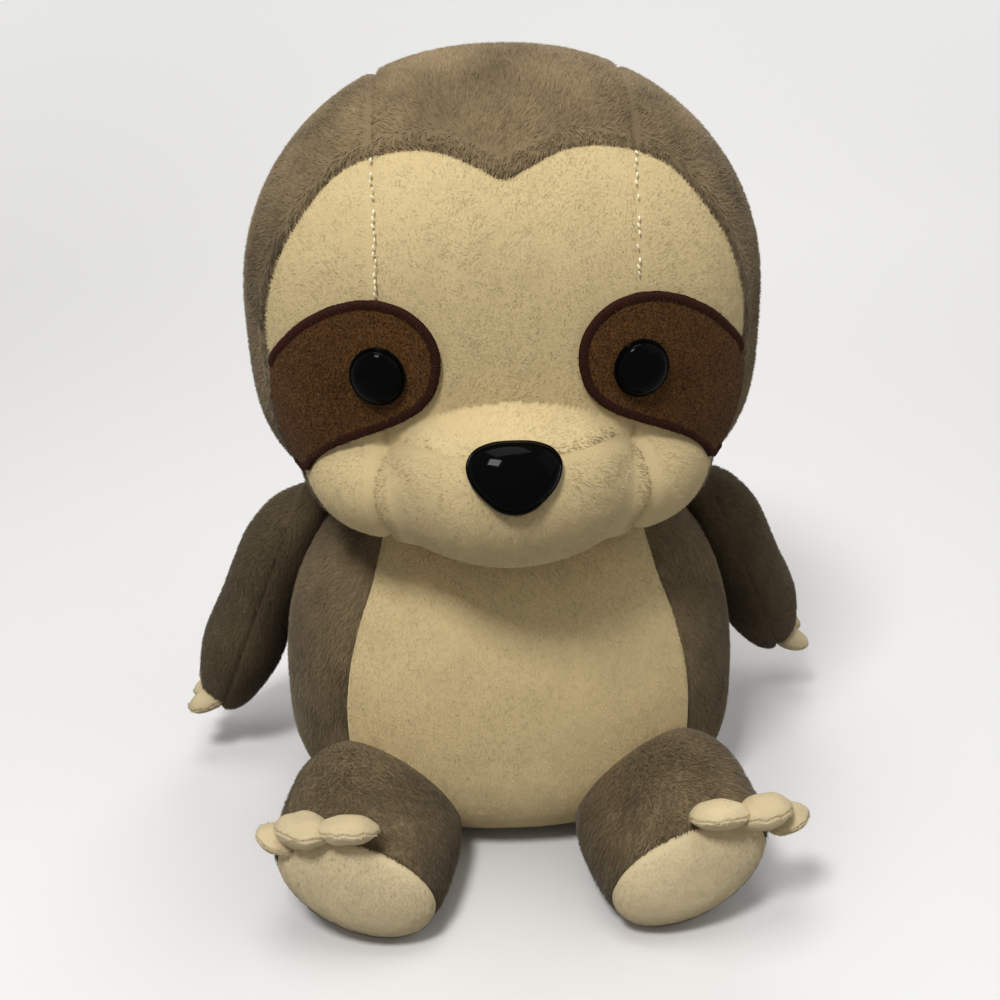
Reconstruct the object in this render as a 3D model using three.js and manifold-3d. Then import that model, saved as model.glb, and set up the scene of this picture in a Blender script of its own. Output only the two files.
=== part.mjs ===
// A seated plush sloth: sewn fabric panels round stuffed cores, with safety eyes and nose.
// Millimetres, +Z up. The toy faces -Y and its left side is +X. The sizes are set out from a
// point below the middle of its body, on the surface that it sits on.

import * as THREE from 'three';
import { mergeVertices } from 'three/addons/utils/BufferGeometryUtils.js';
import Module from 'manifold-3d';

const wasm = await Module();
wasm.setup();

// Fabric, clearances and cuts
const FABRIC = 2.4;
const GAP = 0.3;
const LINING_GAP = 0.5;
const NECK_GAP = 0.9;
const SEAM_GAP = 0.3;
const CUT_REACH = 600;
const CUT_LIP = 6;
const FLOOR_CUT = 0.5;

// Body
const BODY_HALF_WIDTH = 83;
const BODY_FRONT_DEPTH = 66;
const BODY_BACK_DEPTH = 62;
const BODY_WIDEST_HEIGHT = 42;
const BODY_TOP_RISE = 90;
const BODY_BASE_DROP = 46;
const BODY_TOP_POWER = 2.4;
const BODY_BASE_POWER = 3;
const BODY_PLAN_POWER = 2.2;
const SEAT_SEAM_HEIGHT = 7;
const SIDE_SEAM_BACK = 4;

// Belly panel: half widths, as shares of the body's half width, at shares of its height
const BELLY_OUTLINE_SHARES = [
  [0.4, 0.0], [0.62, 0.06], [0.69, 0.22], [0.706, 0.39], [0.685, 0.52],
  [0.636, 0.65], [0.569, 0.77], [0.505, 0.92], [0.45, 1.1],
];

// Neck
const NECK_SINK = 6;
const NECK_RADIUS = 23;

// Head
const HEAD_HALF_WIDTH = 83;
const HEAD_FRONT_DEPTH = 57;
const HEAD_BACK_DEPTH = 72;
const HEAD_TOP_RISE = 76.5;
const HEAD_BASE_DROP = 63;
const HEAD_TOP_POWER = 2.1;
const HEAD_BASE_POWER = 3.7;
const HEAD_PLAN_POWER = 2.6;
const HEAD_LIFT = 66;
const HEAD_FORWARD = 12;
const FACE_BLEND = 2.5;

// Muzzle and cheeks: rounded masses set into the head
const MUZZLE_HALF_WIDTH = 45;
const MUZZLE_DEPTH = 49.5;
const MUZZLE_HALF_HEIGHT = 31.5;
const MUZZLE_DROP = 46;
const MUZZLE_FORWARD = 32;
const CHEEK_HALF_WIDTH = 33;
const CHEEK_DEPTH = 41;
const CHEEK_HALF_HEIGHT = 24;
const CHEEK_DROP = 48.5;
const CHEEK_FORWARD = 21;
const CHEEK_APART = 34;

// Face panels, seen from the front. Across: shares of the head's half width from its middle.
// Up: shares of the head's rise above its middle.
const GUSSET_HALF_WIDTH = 38;
const FACE_BACK_EDGE = -32;
const HAIRLINE_SHARES = [
  [0, 0.59], [0.094, 0.633], [0.205, 0.681], [0.326, 0.693], [0.457, 0.668], [0.582, 0.608],
  [0.692, 0.491], [0.8, 0.325], [0.855, 0.19], [0.888, 0.06], [0.895, -0.06], [0.888, -0.16],
  [0.888, -0.27], [0.878, -0.38], [0.855, -0.49], [0.822, -0.58], [0.78, -0.66],
  [0.7, -0.78], [0.58, -0.92], [0.4, -1.1],
];
const MUZZLE_PANEL_SHARES = [
  [0, -0.382], [0.25, -0.382], [0.35, -0.386], [0.42, -0.402], [0.468, -0.45], [0.498, -0.516],
  [0.511, -0.583], [0.505, -0.673], [0.475, -0.775], [0.455, -0.9], [0.45, -1.2],
];
const PATCH_SHARES = [
  [0.242, -0.08], [0.25, -0.01], [0.275, 0.048], [0.314, 0.098], [0.368, 0.138], [0.433, 0.159],
  [0.508, 0.163], [0.58, 0.148], [0.65, 0.118], [0.713, 0.075], [0.774, 0.018], [0.826, -0.045],
  [0.862, -0.11], [0.872, -0.17], [0.876, -0.27], [0.866, -0.379], [0.843, -0.49],
  [0.81, -0.565], [0.77, -0.6], [0.727, -0.53], [0.67, -0.474], [0.605, -0.428],
  [0.535, -0.388], [0.465, -0.354], [0.395, -0.32], [0.335, -0.282], [0.287, -0.231],
  [0.255, -0.165],
];
const PATCH_THICKNESS = 1.1;
const DOME_SHARES = [[0.9, 0.22], [0.76, 0.54], [0.52, 0.84], [0.27, 0.96], [0, 1]];

// Safety eyes
const EYE_RADIUS = 8.5;
const EYE_DOME = 4.6;
const EYE_RIM = 0.9;
const EYE_ACROSS = 38.3;
const EYE_DROP = 9.6;
const STEM_RADIUS = 2.1;
const STEM_LENGTH = 11;
const WASHER_THICKNESS = 1.6;
const WASHER_DEPTH = 4.2;
const WASHER_RIM = 0.5;
const EYE_FACETS = 16;

// Safety nose
const NOSE_HALF_WIDTH = 13.3;
const NOSE_HALF_HEIGHT = 10.6;
const NOSE_DOME = 4;
const NOSE_LIP = 0.6;
const NOSE_SINK = 1.3;
const NOSE_WASHER_RADIUS = 5;
const NOSE_WASHER_DEPTH = 8;
const NOSE_DROP = 32.2;
const NOSE_OUTLINE_SHARES = [
  [0, 0.78], [0.5, 0.74], [0.84, 0.56], [1, 0.2], [0.9, -0.24], [0.62, -0.74],
  [0.32, -1.08], [0, -1.22],
];

// Arms: flattened, hanging from the shoulders. Each row of shares has the way along the arm,
// the section's size and how far its middle stands out from the inner line of the arm.
const ARM_LENGTH = 107;
const ARM_HALF_WIDTH = 18;
const ARM_HALF_THICKNESS = 14.7;
const ARM_TILT_DEGREES = 22.5;
const SHOULDER_ACROSS = 59.5;
const SHOULDER_HEIGHT = 112;
const SHOULDER_BACK = 8;
const ARM_SWING_LEFT_DEGREES = 19.5;
const ARM_SWING_RIGHT_DEGREES = 5;
const ARM_PROFILE_SHARES = [
  [-0.08, 0, 0], [-0.07, 0.32, 0.32], [-0.02, 0.46, 0.46], [0.04, 0.58, 0.58],
  [0.145, 0.84, 0.84], [0.3, 0.98, 0.98], [0.5, 1, 1], [0.69, 1.08, 1], [0.86, 0.88, 1.01],
  [0.94, 0.66, 1], [0.98, 0.42, 0.97], [1, 0, 0.93],
];

// Legs: short stubs whose soles face forward and turn out. The section is an oval that is
// rolled so that the toes are high on the outer side.
const LEG_ACROSS = 48;
const LEG_FORWARD = 65;
const LEG_HALF_WIDTH = 31.2;
const LEG_HALF_HEIGHT = 21;
const LEG_LENGTH = 44;
const LEG_ROLL_DEGREES = 30.5;
const LEG_YAW_DEGREES = 10;
const LEG_PROFILE_SHARES = [
  [-0.66, 0, 0], [-0.63, 0.33, 0], [-0.53, 0.62, 0], [-0.36, 0.85, 0], [-0.17, 0.965, 0],
  [0.06, 1, 0], [0.32, 0.995, 0], [0.56, 0.965, 0], [0.7, 0.93, 0], [0.8, 0.89, 0],
  [0.88, 0.78, 0], [0.945, 0.59, 0], [0.985, 0.34, 0], [1, 0, 0],
];
const SOLE_SEAM_SHARE = 0.76;
const SOLE_LEAN_DEGREES = 14;
const HIP_INSET = 0.5;
const HIP_HEIGHT = 51;

// Claws: three small stuffed lobes sewn in a row as one piece
const CLAW_ROOT_SHARE = 0.45;
const FOOT_CLAW_LENGTH = 9;
const FOOT_CLAW_HALF_WIDTH = 8.6;
const FOOT_CLAW_HALF_THICKNESS = 4.4;
const FOOT_CLAW_ACROSS_SHARES = [0.08, 0.58, 0.94];
const FOOT_CLAW_UP_SHARES = [1.14, 1.0, 0.68];
const FOOT_CLAW_ALONG_SHARES = [0.9, 0.87, 0.76];
const FOOT_CLAW_DEGREES = [4, 20, 62];
const HAND_CLAW_LENGTH = 9;
const HAND_CLAW_HALF_WIDTH = 6.8;
const HAND_CLAW_HALF_THICKNESS = 4.3;
const HAND_CLAW_PITCH = 10.5;
const HAND_CLAW_ALONG_SHARE = 0.96;
const HAND_CLAW_OUT_SHARE = 1.4;
const HAND_CLAW_LEAN_DEGREES = 50;
const HAND_CLAW_SPREAD_DEGREES = 16;

// How far the head turns and nods and the limbs lift, so that each is hollowed clear of the body
const HEAD_TURN_DEGREES = 22;
const HEAD_NOD_DEGREES = 6;
const ARM_LIFT_DEGREES = 45;
const LEG_LIFT_DEGREES = 30;

// Facet counts
const HEAD_AROUND = 32;
const HEAD_RINGS = 18;
const BODY_AROUND = 32;
const BODY_RINGS = 16;
const BODY_LINING_AROUND = 24;
const BODY_LINING_RINGS = 12;
const ARM_AROUND = 14;
const LEG_AROUND = 16;
const NECK_AROUND = 16;
const NECK_RINGS = 8;
const CLAW_AROUND = 8;
const CLAW_RINGS = 6;
const SWEEP_STEPS = 2;
const SEARCH_STEPS = 40;
const SLOPE_STEP = 0.002;

// Colours
const TAUPE = 0x7d705c;
const CREAM = 0xcdbe96;
const SOLE_CREAM = 0xc8b9a0;
const SUEDE = 0x54412c;
const BLACK = 0x0b0a0a;
const STUFFING = 0xe8e6e0;
const WASHER_WHITE = 0xd8d8d4;

const UP = new THREE.Vector3(0, 0, 1);
const ACROSS = new THREE.Vector3(1, 0, 0);
const FORWARD = new THREE.Vector3(0, -1, 0);
const BACKWARD = new THREE.Vector3(0, 1, 0);
const SIDES = [{ side: 1, sideName: 'left' }, { side: -1, sideName: 'right' }];
const vec = (x, y, z) => new THREE.Vector3(x, y, z);
const radians = THREE.MathUtils.degToRad;
const signedPower = (value, power) => Math.sign(value) * Math.abs(value) ** power;

// Places that follow from the sizes
const NECK = vec(0, 0, BODY_WIDEST_HEIGHT + BODY_TOP_RISE - NECK_SINK);
const HEAD_CENTRE = vec(0, -HEAD_FORWARD, NECK.z + HEAD_LIFT);
const BODY_HEIGHT = BODY_WIDEST_HEIGHT + BODY_TOP_RISE;
const hipPoint = vec(0, HIP_INSET - BODY_FRONT_DEPTH, HIP_HEIGHT);

// A closed mesh with its shared vertices merged, as a solid for joining and cutting.
function solidFrom(geometry) {
  geometry.deleteAttribute('normal');
  geometry.deleteAttribute('uv');
  const merged = mergeVertices(geometry);
  return new wasm.Manifold(new wasm.Mesh({
    numProp: 3,
    vertProperties: new Float32Array(merged.attributes.position.array),
    triVerts: new Uint32Array(merged.index.array),
  }));
}

// A solid closed over rings of points, each run anticlockwise as seen from the last pole.
function ringSolid(firstPole, rings, lastPole) {
  const count = rings[0].length;
  const points = [firstPole, ...rings.flat(), lastPole].flatMap(({ x, y, z }) => [x, y, z]);
  const last = points.length / 3 - 1;
  const at = (ring, side) => 1 + ring * count + (side % count);
  const faces = [];
  for (let side = 0; side < count; side += 1) {
    faces.push(0, at(0, side + 1), at(0, side));
    faces.push(last, at(rings.length - 1, side), at(rings.length - 1, side + 1));
    for (let ring = 0; ring + 1 < rings.length; ring += 1) {
      const [low, lowNext] = [at(ring, side), at(ring, side + 1)];
      const [high, highNext] = [at(ring + 1, side), at(ring + 1, side + 1)];
      faces.push(low, lowNext, highNext, low, highNext, high);
    }
  }
  const geometry = new THREE.BufferGeometry();
  geometry.setAttribute('position', new THREE.Float32BufferAttribute(points, 3));
  geometry.setIndex(faces);
  return solidFrom(geometry);
}

// The outward direction of a surface. At its two poles it is the way from the ring nearby.
function outwardAt(pointAt, around, along) {
  if (along <= 0 || along >= 1) {
    const ring = along <= 0 ? SLOPE_STEP : 1 - SLOPE_STEP;
    const inward = along <= 0 ? 2 * SLOPE_STEP : 1 - 2 * SLOPE_STEP;
    const ringMiddle = pointAt(0, inward).add(pointAt(0.5, inward)).multiplyScalar(0.5);
    const poleMiddle = pointAt(0, ring).add(pointAt(0.5, ring)).multiplyScalar(0.5);
    return poleMiddle.sub(ringMiddle).normalize();
  }
  const across = pointAt(around + SLOPE_STEP, along).sub(pointAt(around - SLOPE_STEP, along));
  const rise = pointAt(around, along + SLOPE_STEP).sub(pointAt(around, along - SLOPE_STEP));
  return across.cross(rise).normalize();
}

// A closed surface from pole to pole, pushed outward by grow. pointAt takes the share of the
// turn and the share of the way from the first pole to the last.
function roundSolid(pointAt, aroundCount, ringCount, grow = 0) {
  const place = (around, along) => {
    const point = pointAt(around, along);
    return grow === 0 ? point : point.addScaledVector(outwardAt(pointAt, around, along), grow);
  };
  const rings = [];
  for (let ring = 1; ring < ringCount; ring += 1) {
    const turns = Array.from({ length: aroundCount }, (_, side) => side / aroundCount);
    rings.push(turns.map((turn) => place(turn, ring / ringCount)));
  }
  return ringSolid(place(0, 0), rings, place(0, 1));
}

// Everything on the side of a plane that its normal points to.
function halfSpace(normal, point) {
  const block = new THREE.BoxGeometry(CUT_REACH, CUT_REACH, CUT_REACH);
  block.translate(0, 0, CUT_REACH / 2);
  block.applyQuaternion(new THREE.Quaternion().setFromUnitVectors(UP, normal));
  block.translate(point.x, point.y, point.z);
  return solidFrom(block);
}

const aboveHeight = (height) => halfSpace(UP, vec(0, 0, height));

// The two sides of a seam plane, each kept half a seam gap away from it.
function seamSides(solid, normal, point) {
  const away = normal.clone().negate();
  return [
    solid.intersect(halfSpace(normal, point.clone().addScaledVector(normal, SEAM_GAP / 2))),
    solid.intersect(halfSpace(away, point.clone().addScaledVector(away, SEAM_GAP / 2))),
  ];
}

// A half outline, from the middle at the top round to the foot, closed by its mirror image.
function mirroredOutline(half) {
  const mirror = half.filter(([across]) => across > 0).map(([across, up]) => [-across, up]);
  return [...half, ...mirror.reverse()];
}

// A loop moved outward by a distance, square to the chord of each point's neighbours.
function widenedLoop(points, distance) {
  const turn = THREE.ShapeUtils.area(points.map(([x, y]) => ({ x, y }))) < 0 ? -1 : 1;
  return points.map(([x, y], index) => {
    const before = points[(index + points.length - 1) % points.length];
    const after = points[(index + 1) % points.length];
    const chord = new THREE.Vector2(after[0] - before[0], after[1] - before[1]).normalize();
    return [x + turn * distance * chord.y, y - turn * distance * chord.x];
  });
}

// A loop seen from the front, carried forward along Y from a back edge.
function frontPrism(loop, backEdge) {
  const shape = new THREE.Shape(loop.map(([x, z]) => new THREE.Vector2(x, z)));
  const block = new THREE.ExtrudeGeometry(shape, { depth: CUT_REACH, bevelEnabled: false });
  block.rotateX(Math.PI / 2);
  block.translate(0, backEdge, 0);
  return solidFrom(block);
}

// The inside and the outside of a loop seen from the front, a seam gap apart.
function loopSides(solid, loop, backEdge) {
  return [
    solid.intersect(frontPrism(widenedLoop(loop, -SEAM_GAP / 2), backEdge - SEAM_GAP / 2)),
    solid.subtract(frontPrism(widenedLoop(loop, SEAM_GAP / 2), backEdge + SEAM_GAP / 2)),
  ];
}

// The largest of the separate bodies that a cut leaves.
function largestBody(solid) {
  const bodies = solid.decompose();
  return bodies.reduce((best, body) => (body.volume() > best.volume() ? body : best));
}

// A solid turned about an axis through a point.
function turned(solid, axis, point, degrees) {
  const matrix = new THREE.Matrix4().makeTranslation(point.x, point.y, point.z)
    .multiply(new THREE.Matrix4().makeRotationAxis(axis, radians(degrees)))
    .multiply(new THREE.Matrix4().makeTranslation(-point.x, -point.y, -point.z));
  return solid.transform(matrix.elements);
}

// The space that a solid takes, in another's frame, as a joint turns between two limits.
function sweptSpace(solid, axis, point, fromDegrees, toDegrees) {
  let space = turned(solid, axis, point, fromDegrees);
  for (let step = 1; step <= SWEEP_STEPS; step += 1) {
    const degrees = fromDegrees + (toDegrees - fromDegrees) * (step / SWEEP_STEPS);
    space = space.add(turned(solid, axis, point, degrees));
  }
  return space;
}

// Body: a squared-off oval in plan, which swells and tapers as another does with the height.
function bodyPlan(turn) {
  const depth = Math.cos(turn) > 0 ? BODY_FRONT_DEPTH : BODY_BACK_DEPTH;
  return (Math.abs(Math.sin(turn) / BODY_HALF_WIDTH) ** BODY_PLAN_POWER
    + Math.abs(Math.cos(turn) / depth) ** BODY_PLAN_POWER) ** (-1 / BODY_PLAN_POWER);
}

function bodyProfile(along) {
  const rise = (along - 0.5) * Math.PI;
  const power = rise > 0 ? BODY_TOP_POWER : BODY_BASE_POWER;
  const reach = rise > 0 ? BODY_TOP_RISE : BODY_BASE_DROP;
  return {
    ring: Math.cos(rise) ** (2 / power),
    height: BODY_WIDEST_HEIGHT + reach * signedPower(Math.sin(rise), 2 / power),
  };
}

// The body's surface, or with sweepDegrees the space that it takes as the head turns above it.
function bodyPointWith(sweepDegrees) {
  const sweepShares = [-1, -0.5, 0, 0.5, 1];
  return (around, along) => {
    const turn = around * 2 * Math.PI;
    const { ring, height } = bodyProfile(along);
    const radii = sweepShares.map((share) => bodyPlan(turn + share * radians(sweepDegrees)));
    const radius = ring * Math.max(...radii);
    return vec(radius * Math.sin(turn), -radius * Math.cos(turn), height);
  };
}

const bodyPoint = bodyPointWith(0);
const neckBall = (grow) => roundSolid((around, along) => {
  const turn = around * 2 * Math.PI;
  const rise = (along - 0.5) * Math.PI;
  return vec(Math.cos(rise) * Math.sin(turn), -Math.cos(rise) * Math.cos(turn), Math.sin(rise))
    .multiplyScalar(NECK_RADIUS + grow).add(NECK);
}, NECK_AROUND, NECK_RINGS);

// What the limbs and the head keep clear of, at rest.
const bodySpace = roundSolid(bodyPoint, BODY_AROUND, BODY_RINGS, GAP);

// Distance from the head's middle to an ellipsoid's far side, along a direction.
function ellipsoidReach(direction, centre, size) {
  const start = HEAD_CENTRE.clone().sub(centre).divide(size);
  const way = direction.clone().divide(size);
  const square = way.lengthSq();
  const half = way.dot(start);
  const inside = half * half - square * (start.lengthSq() - 1);
  return inside > 0 ? Math.max((Math.sqrt(inside) - half) / square, 0) : 0;
}

// The larger of two lengths, rounded where they are nearly equal.
const softMax = (first, second) => 0.5 * (first + second + Math.hypot(first - second, FACE_BLEND));

const SWELLINGS = [
  {
    centre: vec(0, HEAD_CENTRE.y - MUZZLE_FORWARD, HEAD_CENTRE.z - MUZZLE_DROP),
    size: vec(MUZZLE_HALF_WIDTH, MUZZLE_DEPTH, MUZZLE_HALF_HEIGHT),
  },
  ...SIDES.map(({ side }) => ({
    centre: vec(side * CHEEK_APART, HEAD_CENTRE.y - CHEEK_FORWARD, HEAD_CENTRE.z - CHEEK_DROP),
    size: vec(CHEEK_HALF_WIDTH, CHEEK_DEPTH, CHEEK_HALF_HEIGHT),
  })),
];

// Head: the skull's squared-off oval, with the muzzle and the cheeks swelling out of it.
function headReach(direction) {
  const depth = direction.y < 0 ? HEAD_FRONT_DEPTH : HEAD_BACK_DEPTH;
  const height = direction.z > 0 ? HEAD_TOP_RISE : HEAD_BASE_DROP;
  const power = direction.z > 0 ? HEAD_TOP_POWER : HEAD_BASE_POWER;
  const level = (Math.abs(direction.x / HEAD_HALF_WIDTH) ** HEAD_PLAN_POWER
    + Math.abs(direction.y / depth) ** HEAD_PLAN_POWER) ** (1 / HEAD_PLAN_POWER);
  const skull = (level ** power + Math.abs(direction.z / height) ** power) ** (-1 / power);
  return SWELLINGS.reduce((reach, { centre, size }) => (
    softMax(reach, ellipsoidReach(direction, centre, size))
  ), skull);
}

// The face has its facets closer together than the back of the head.
function headPoint(around, along) {
  const crowdShare = 0.35;
  const turn = around * 2 * Math.PI;
  const azimuth = turn - crowdShare * Math.sin(turn);
  const rise = (along - 0.5) * Math.PI;
  const direction = vec(
    Math.cos(rise) * Math.sin(azimuth),
    -Math.cos(rise) * Math.cos(azimuth),
    Math.sin(rise),
  );
  return direction.clone().multiplyScalar(headReach(direction)).add(HEAD_CENTRE);
}

const headSolid = (grow) => roundSolid(headPoint, HEAD_AROUND, HEAD_RINGS, grow);

// The place and the outward direction of the head's front, at a distance across and up.
function headSeat(across, up) {
  const surface = (x, z) => {
    let near = 0;
    let far = HEAD_FRONT_DEPTH + MUZZLE_DEPTH;
    for (let step = 0; step < SEARCH_STEPS; step += 1) {
      const middle = (near + far) / 2;
      const offset = vec(x, -middle, z);
      const isInside = offset.length() < headReach(offset.clone().normalize());
      near = isInside ? middle : near;
      far = isInside ? far : middle;
    }
    return vec(x, -near, z);
  };
  const acrossWay = surface(across + FABRIC, up).sub(surface(across - FABRIC, up));
  const upWay = surface(across, up + FABRIC).sub(surface(across, up - FABRIC));
  return {
    point: surface(across, up).add(HEAD_CENTRE),
    outward: acrossWay.cross(upWay).normalize(),
  };
}

// A piece made round +Z, with +Y as its upper side, moved to a seat on the head.
function seated(solid, { point, outward }) {
  const across = UP.clone().cross(outward).normalize();
  const upper = outward.clone().cross(across);
  return solid.transform(new THREE.Matrix4().makeBasis(across, upper, outward)
    .setPosition(point).elements);
}

// A turned profile of radii and heights, at a seat on the head.
function turnedPiece(profile, seat) {
  const outline = profile.map(([radius, height]) => new THREE.Vector2(radius, height));
  const geometry = new THREE.LatheGeometry(outline, EYE_FACETS);
  geometry.rotateX(Math.PI / 2);
  return seated(solidFrom(geometry), seat);
}

// A round hole or pocket at a seat, between two heights.
function borePiece(seat, radius, fromHeight, toHeight) {
  const profile = [[0, fromHeight], [radius, fromHeight], [radius, toHeight], [0, toHeight]];
  return turnedPiece(profile, seat);
}

// A safety eye: a low dome with a rim, and a stem that goes back through the fabric.
function eyePiece(seat, height) {
  const profile = [
    [0, height - STEM_LENGTH], [STEM_RADIUS, height - STEM_LENGTH], [STEM_RADIUS, height],
    [EYE_RADIUS, height], [EYE_RADIUS, height + EYE_RIM],
  ];
  for (const [radiusShare, heightShare] of DOME_SHARES) {
    profile.push([
      EYE_RADIUS * radiusShare, height + EYE_RIM + (EYE_DOME - EYE_RIM) * heightShare,
    ]);
  }
  return turnedPiece(profile, seat);
}

// A lock washer behind the fabric: a disc with a bore for the stem.
function washerPiece(seat, radius, depth) {
  const bore = STEM_RADIUS + GAP;
  const back = -depth - WASHER_THICKNESS;
  return turnedPiece([
    [bore, back], [radius, back], [radius, -depth - WASHER_RIM],
    [radius - WASHER_RIM, -depth], [bore, -depth], [bore, back],
  ], seat);
}

// The open pocket in the stuffing that a washer and the end of its stem lie in.
function washerPocket(seat, radius, depth, stemHeight) {
  return borePiece(seat, radius + GAP, -depth - WASHER_THICKNESS - GAP, CUT_LIP)
    .add(borePiece(seat, STEM_RADIUS + GAP, stemHeight - STEM_LENGTH - GAP, CUT_LIP));
}

// The nose: a rounded triangle that domes up inside a thin lip, with a stem behind it.
function nosePiece(seat, grow) {
  const loop = widenedLoop(mirroredOutline(NOSE_OUTLINE_SHARES).map(([across, up]) => [
    across * NOSE_HALF_WIDTH, up * NOSE_HALF_HEIGHT,
  ]).reverse(), grow);
  const ringAt = (share, height) => loop.map(([x, y]) => vec(x * share, y * share, height));
  const rings = [ringAt(1, -NOSE_SINK - grow), ringAt(1, NOSE_LIP + grow)];
  for (const [share, heightShare] of DOME_SHARES.slice(0, -1)) {
    rings.push(ringAt(share, NOSE_LIP + grow + NOSE_DOME * heightShare));
  }
  const cap = ringSolid(
    vec(0, 0, -NOSE_SINK - grow), rings, vec(0, 0, NOSE_LIP + grow + NOSE_DOME),
  );
  const stem = borePiece(
    { point: vec(0, 0, 0), outward: FORWARD },
    STEM_RADIUS + grow, -STEM_LENGTH - grow, -NOSE_SINK / 2,
  );
  const upright = turned(stem, ACROSS, vec(0, 0, 0), -90);
  return seated(cap.add(upright), seat);
}

// A limb: ovals of shared size set along a line, offset to one side of it.
function limbPointWith({ root, alongWay, sideWay, length, halfWidth, halfThickness, rows, roll }) {
  const thirdWay = alongWay.clone().cross(sideWay);
  return (around, along) => {
    const place = along * (rows.length - 1);
    const index = Math.min(Math.max(Math.floor(place), 0), rows.length - 2);
    const [way, size, offset] = rows[index].map((value, column) => (
      value + (rows[index + 1][column] - value) * (place - index)
    ));
    const turn = around * 2 * Math.PI;
    const wide = halfWidth * size * Math.cos(turn);
    const thick = halfThickness * size * Math.sin(turn);
    const [cosRoll, sinRoll] = [Math.cos(roll), Math.sin(roll)];
    return root.clone().addScaledVector(alongWay, way * length)
      .addScaledVector(sideWay, wide * cosRoll - thick * sinRoll)
      .addScaledVector(thirdWay, wide * sinRoll + thick * cosRoll + halfThickness * offset);
  };
}

// An arm's ways: down its length, across it from front to back, and outward.
function armFrame(side, swingDegrees) {
  const tilt = radians(ARM_TILT_DEGREES);
  const swing = radians(swingDegrees);
  const hang = vec(side * Math.sin(tilt), 0, -Math.cos(tilt));
  const alongWay = hang.clone().multiplyScalar(Math.cos(swing))
    .addScaledVector(BACKWARD, Math.sin(swing));
  const outWay = vec(side * Math.cos(tilt), 0, Math.sin(tilt));
  return {
    root: vec(side * SHOULDER_ACROSS, SHOULDER_BACK, SHOULDER_HEIGHT),
    alongWay,
    outWay,
    sideWay: outWay.clone().cross(alongWay),
    length: ARM_LENGTH,
    halfWidth: ARM_HALF_WIDTH,
    halfThickness: ARM_HALF_THICKNESS,
    rows: ARM_PROFILE_SHARES,
    roll: 0,
  };
}

// A leg's ways: forward along it, turned out, and upward. Its roll lifts the outer toes.
function legFrame(side) {
  const yaw = radians(LEG_YAW_DEGREES);
  const roll = radians(LEG_ROLL_DEGREES);
  const lowest = Math.hypot(LEG_HALF_WIDTH * Math.sin(roll), LEG_HALF_HEIGHT * Math.cos(roll));
  const alongWay = vec(side * Math.sin(yaw), -Math.cos(yaw), 0);
  return {
    root: vec(side * LEG_ACROSS, -LEG_FORWARD, lowest - FLOOR_CUT),
    alongWay,
    outWay: vec(side * Math.cos(yaw), Math.sin(yaw), 0),
    sideWay: UP.clone().cross(alongWay),
    length: LEG_LENGTH,
    halfWidth: LEG_HALF_WIDTH,
    halfThickness: LEG_HALF_HEIGHT,
    rows: LEG_PROFILE_SHARES,
    roll: side * roll,
  };
}

// One puffy lobe, from its middle, with its long way forward.
function lobe(middle, longWay, upWay, length, halfWidth, halfThickness) {
  const wideWay = upWay.clone().cross(longWay).normalize();
  const thickWay = longWay.clone().cross(wideWay).normalize();
  const matrix = new THREE.Matrix4().makeBasis(
    wideWay.clone().multiplyScalar(halfWidth),
    thickWay.clone().multiplyScalar(halfThickness),
    longWay.clone().multiplyScalar(length),
  ).setPosition(middle);
  const ball = (around, along) => {
    const turn = around * 2 * Math.PI;
    const rise = (along - 0.5) * Math.PI;
    return vec(Math.cos(rise) * Math.cos(turn), Math.cos(rise) * Math.sin(turn), Math.sin(rise));
  };
  return roundSolid(ball, CLAW_AROUND, CLAW_RINGS).transform(matrix.elements);
}

function footClaws(frame, limbSpace) {
  const lobes = FOOT_CLAW_DEGREES.map((degrees, index) => {
    const turn = radians(degrees);
    const longWay = frame.alongWay.clone().multiplyScalar(Math.cos(turn))
      .addScaledVector(frame.outWay, Math.sin(turn));
    const middle = frame.root.clone()
      .addScaledVector(frame.alongWay, LEG_LENGTH * FOOT_CLAW_ALONG_SHARES[index])
      .addScaledVector(frame.outWay, LEG_HALF_WIDTH * FOOT_CLAW_ACROSS_SHARES[index])
      .addScaledVector(UP, LEG_HALF_HEIGHT * FOOT_CLAW_UP_SHARES[index]);
    return lobe(
      middle, longWay, UP, FOOT_CLAW_LENGTH, FOOT_CLAW_HALF_WIDTH, FOOT_CLAW_HALF_THICKNESS,
    );
  });
  return largestBody(lobes[0].add(lobes[1]).add(lobes[2]).subtract(limbSpace));
}

function handClaws(frame, limbSpace) {
  const lean = radians(HAND_CLAW_LEAN_DEGREES);
  const pointWay = frame.alongWay.clone().multiplyScalar(Math.cos(lean))
    .addScaledVector(frame.outWay, Math.sin(lean));
  const upWay = frame.outWay.clone().multiplyScalar(Math.cos(lean))
    .addScaledVector(frame.alongWay, -Math.sin(lean));
  const foreWay = frame.alongWay.clone().cross(frame.outWay);
  const lobes = [-1, 0, 1].map((place) => {
    const spread = radians(place * HAND_CLAW_SPREAD_DEGREES);
    const longWay = pointWay.clone().multiplyScalar(Math.cos(spread))
      .addScaledVector(foreWay, Math.sin(spread));
    const middle = frame.root.clone()
      .addScaledVector(frame.alongWay, ARM_LENGTH * HAND_CLAW_ALONG_SHARE)
      .addScaledVector(frame.outWay, ARM_HALF_THICKNESS * HAND_CLAW_OUT_SHARE)
      .addScaledVector(foreWay, place * HAND_CLAW_PITCH);
    return lobe(
      middle, longWay, upWay, HAND_CLAW_LENGTH, HAND_CLAW_HALF_WIDTH, HAND_CLAW_HALF_THICKNESS,
    );
  });
  return largestBody(lobes[0].add(lobes[1]).add(lobes[2]).subtract(limbSpace));
}

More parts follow.
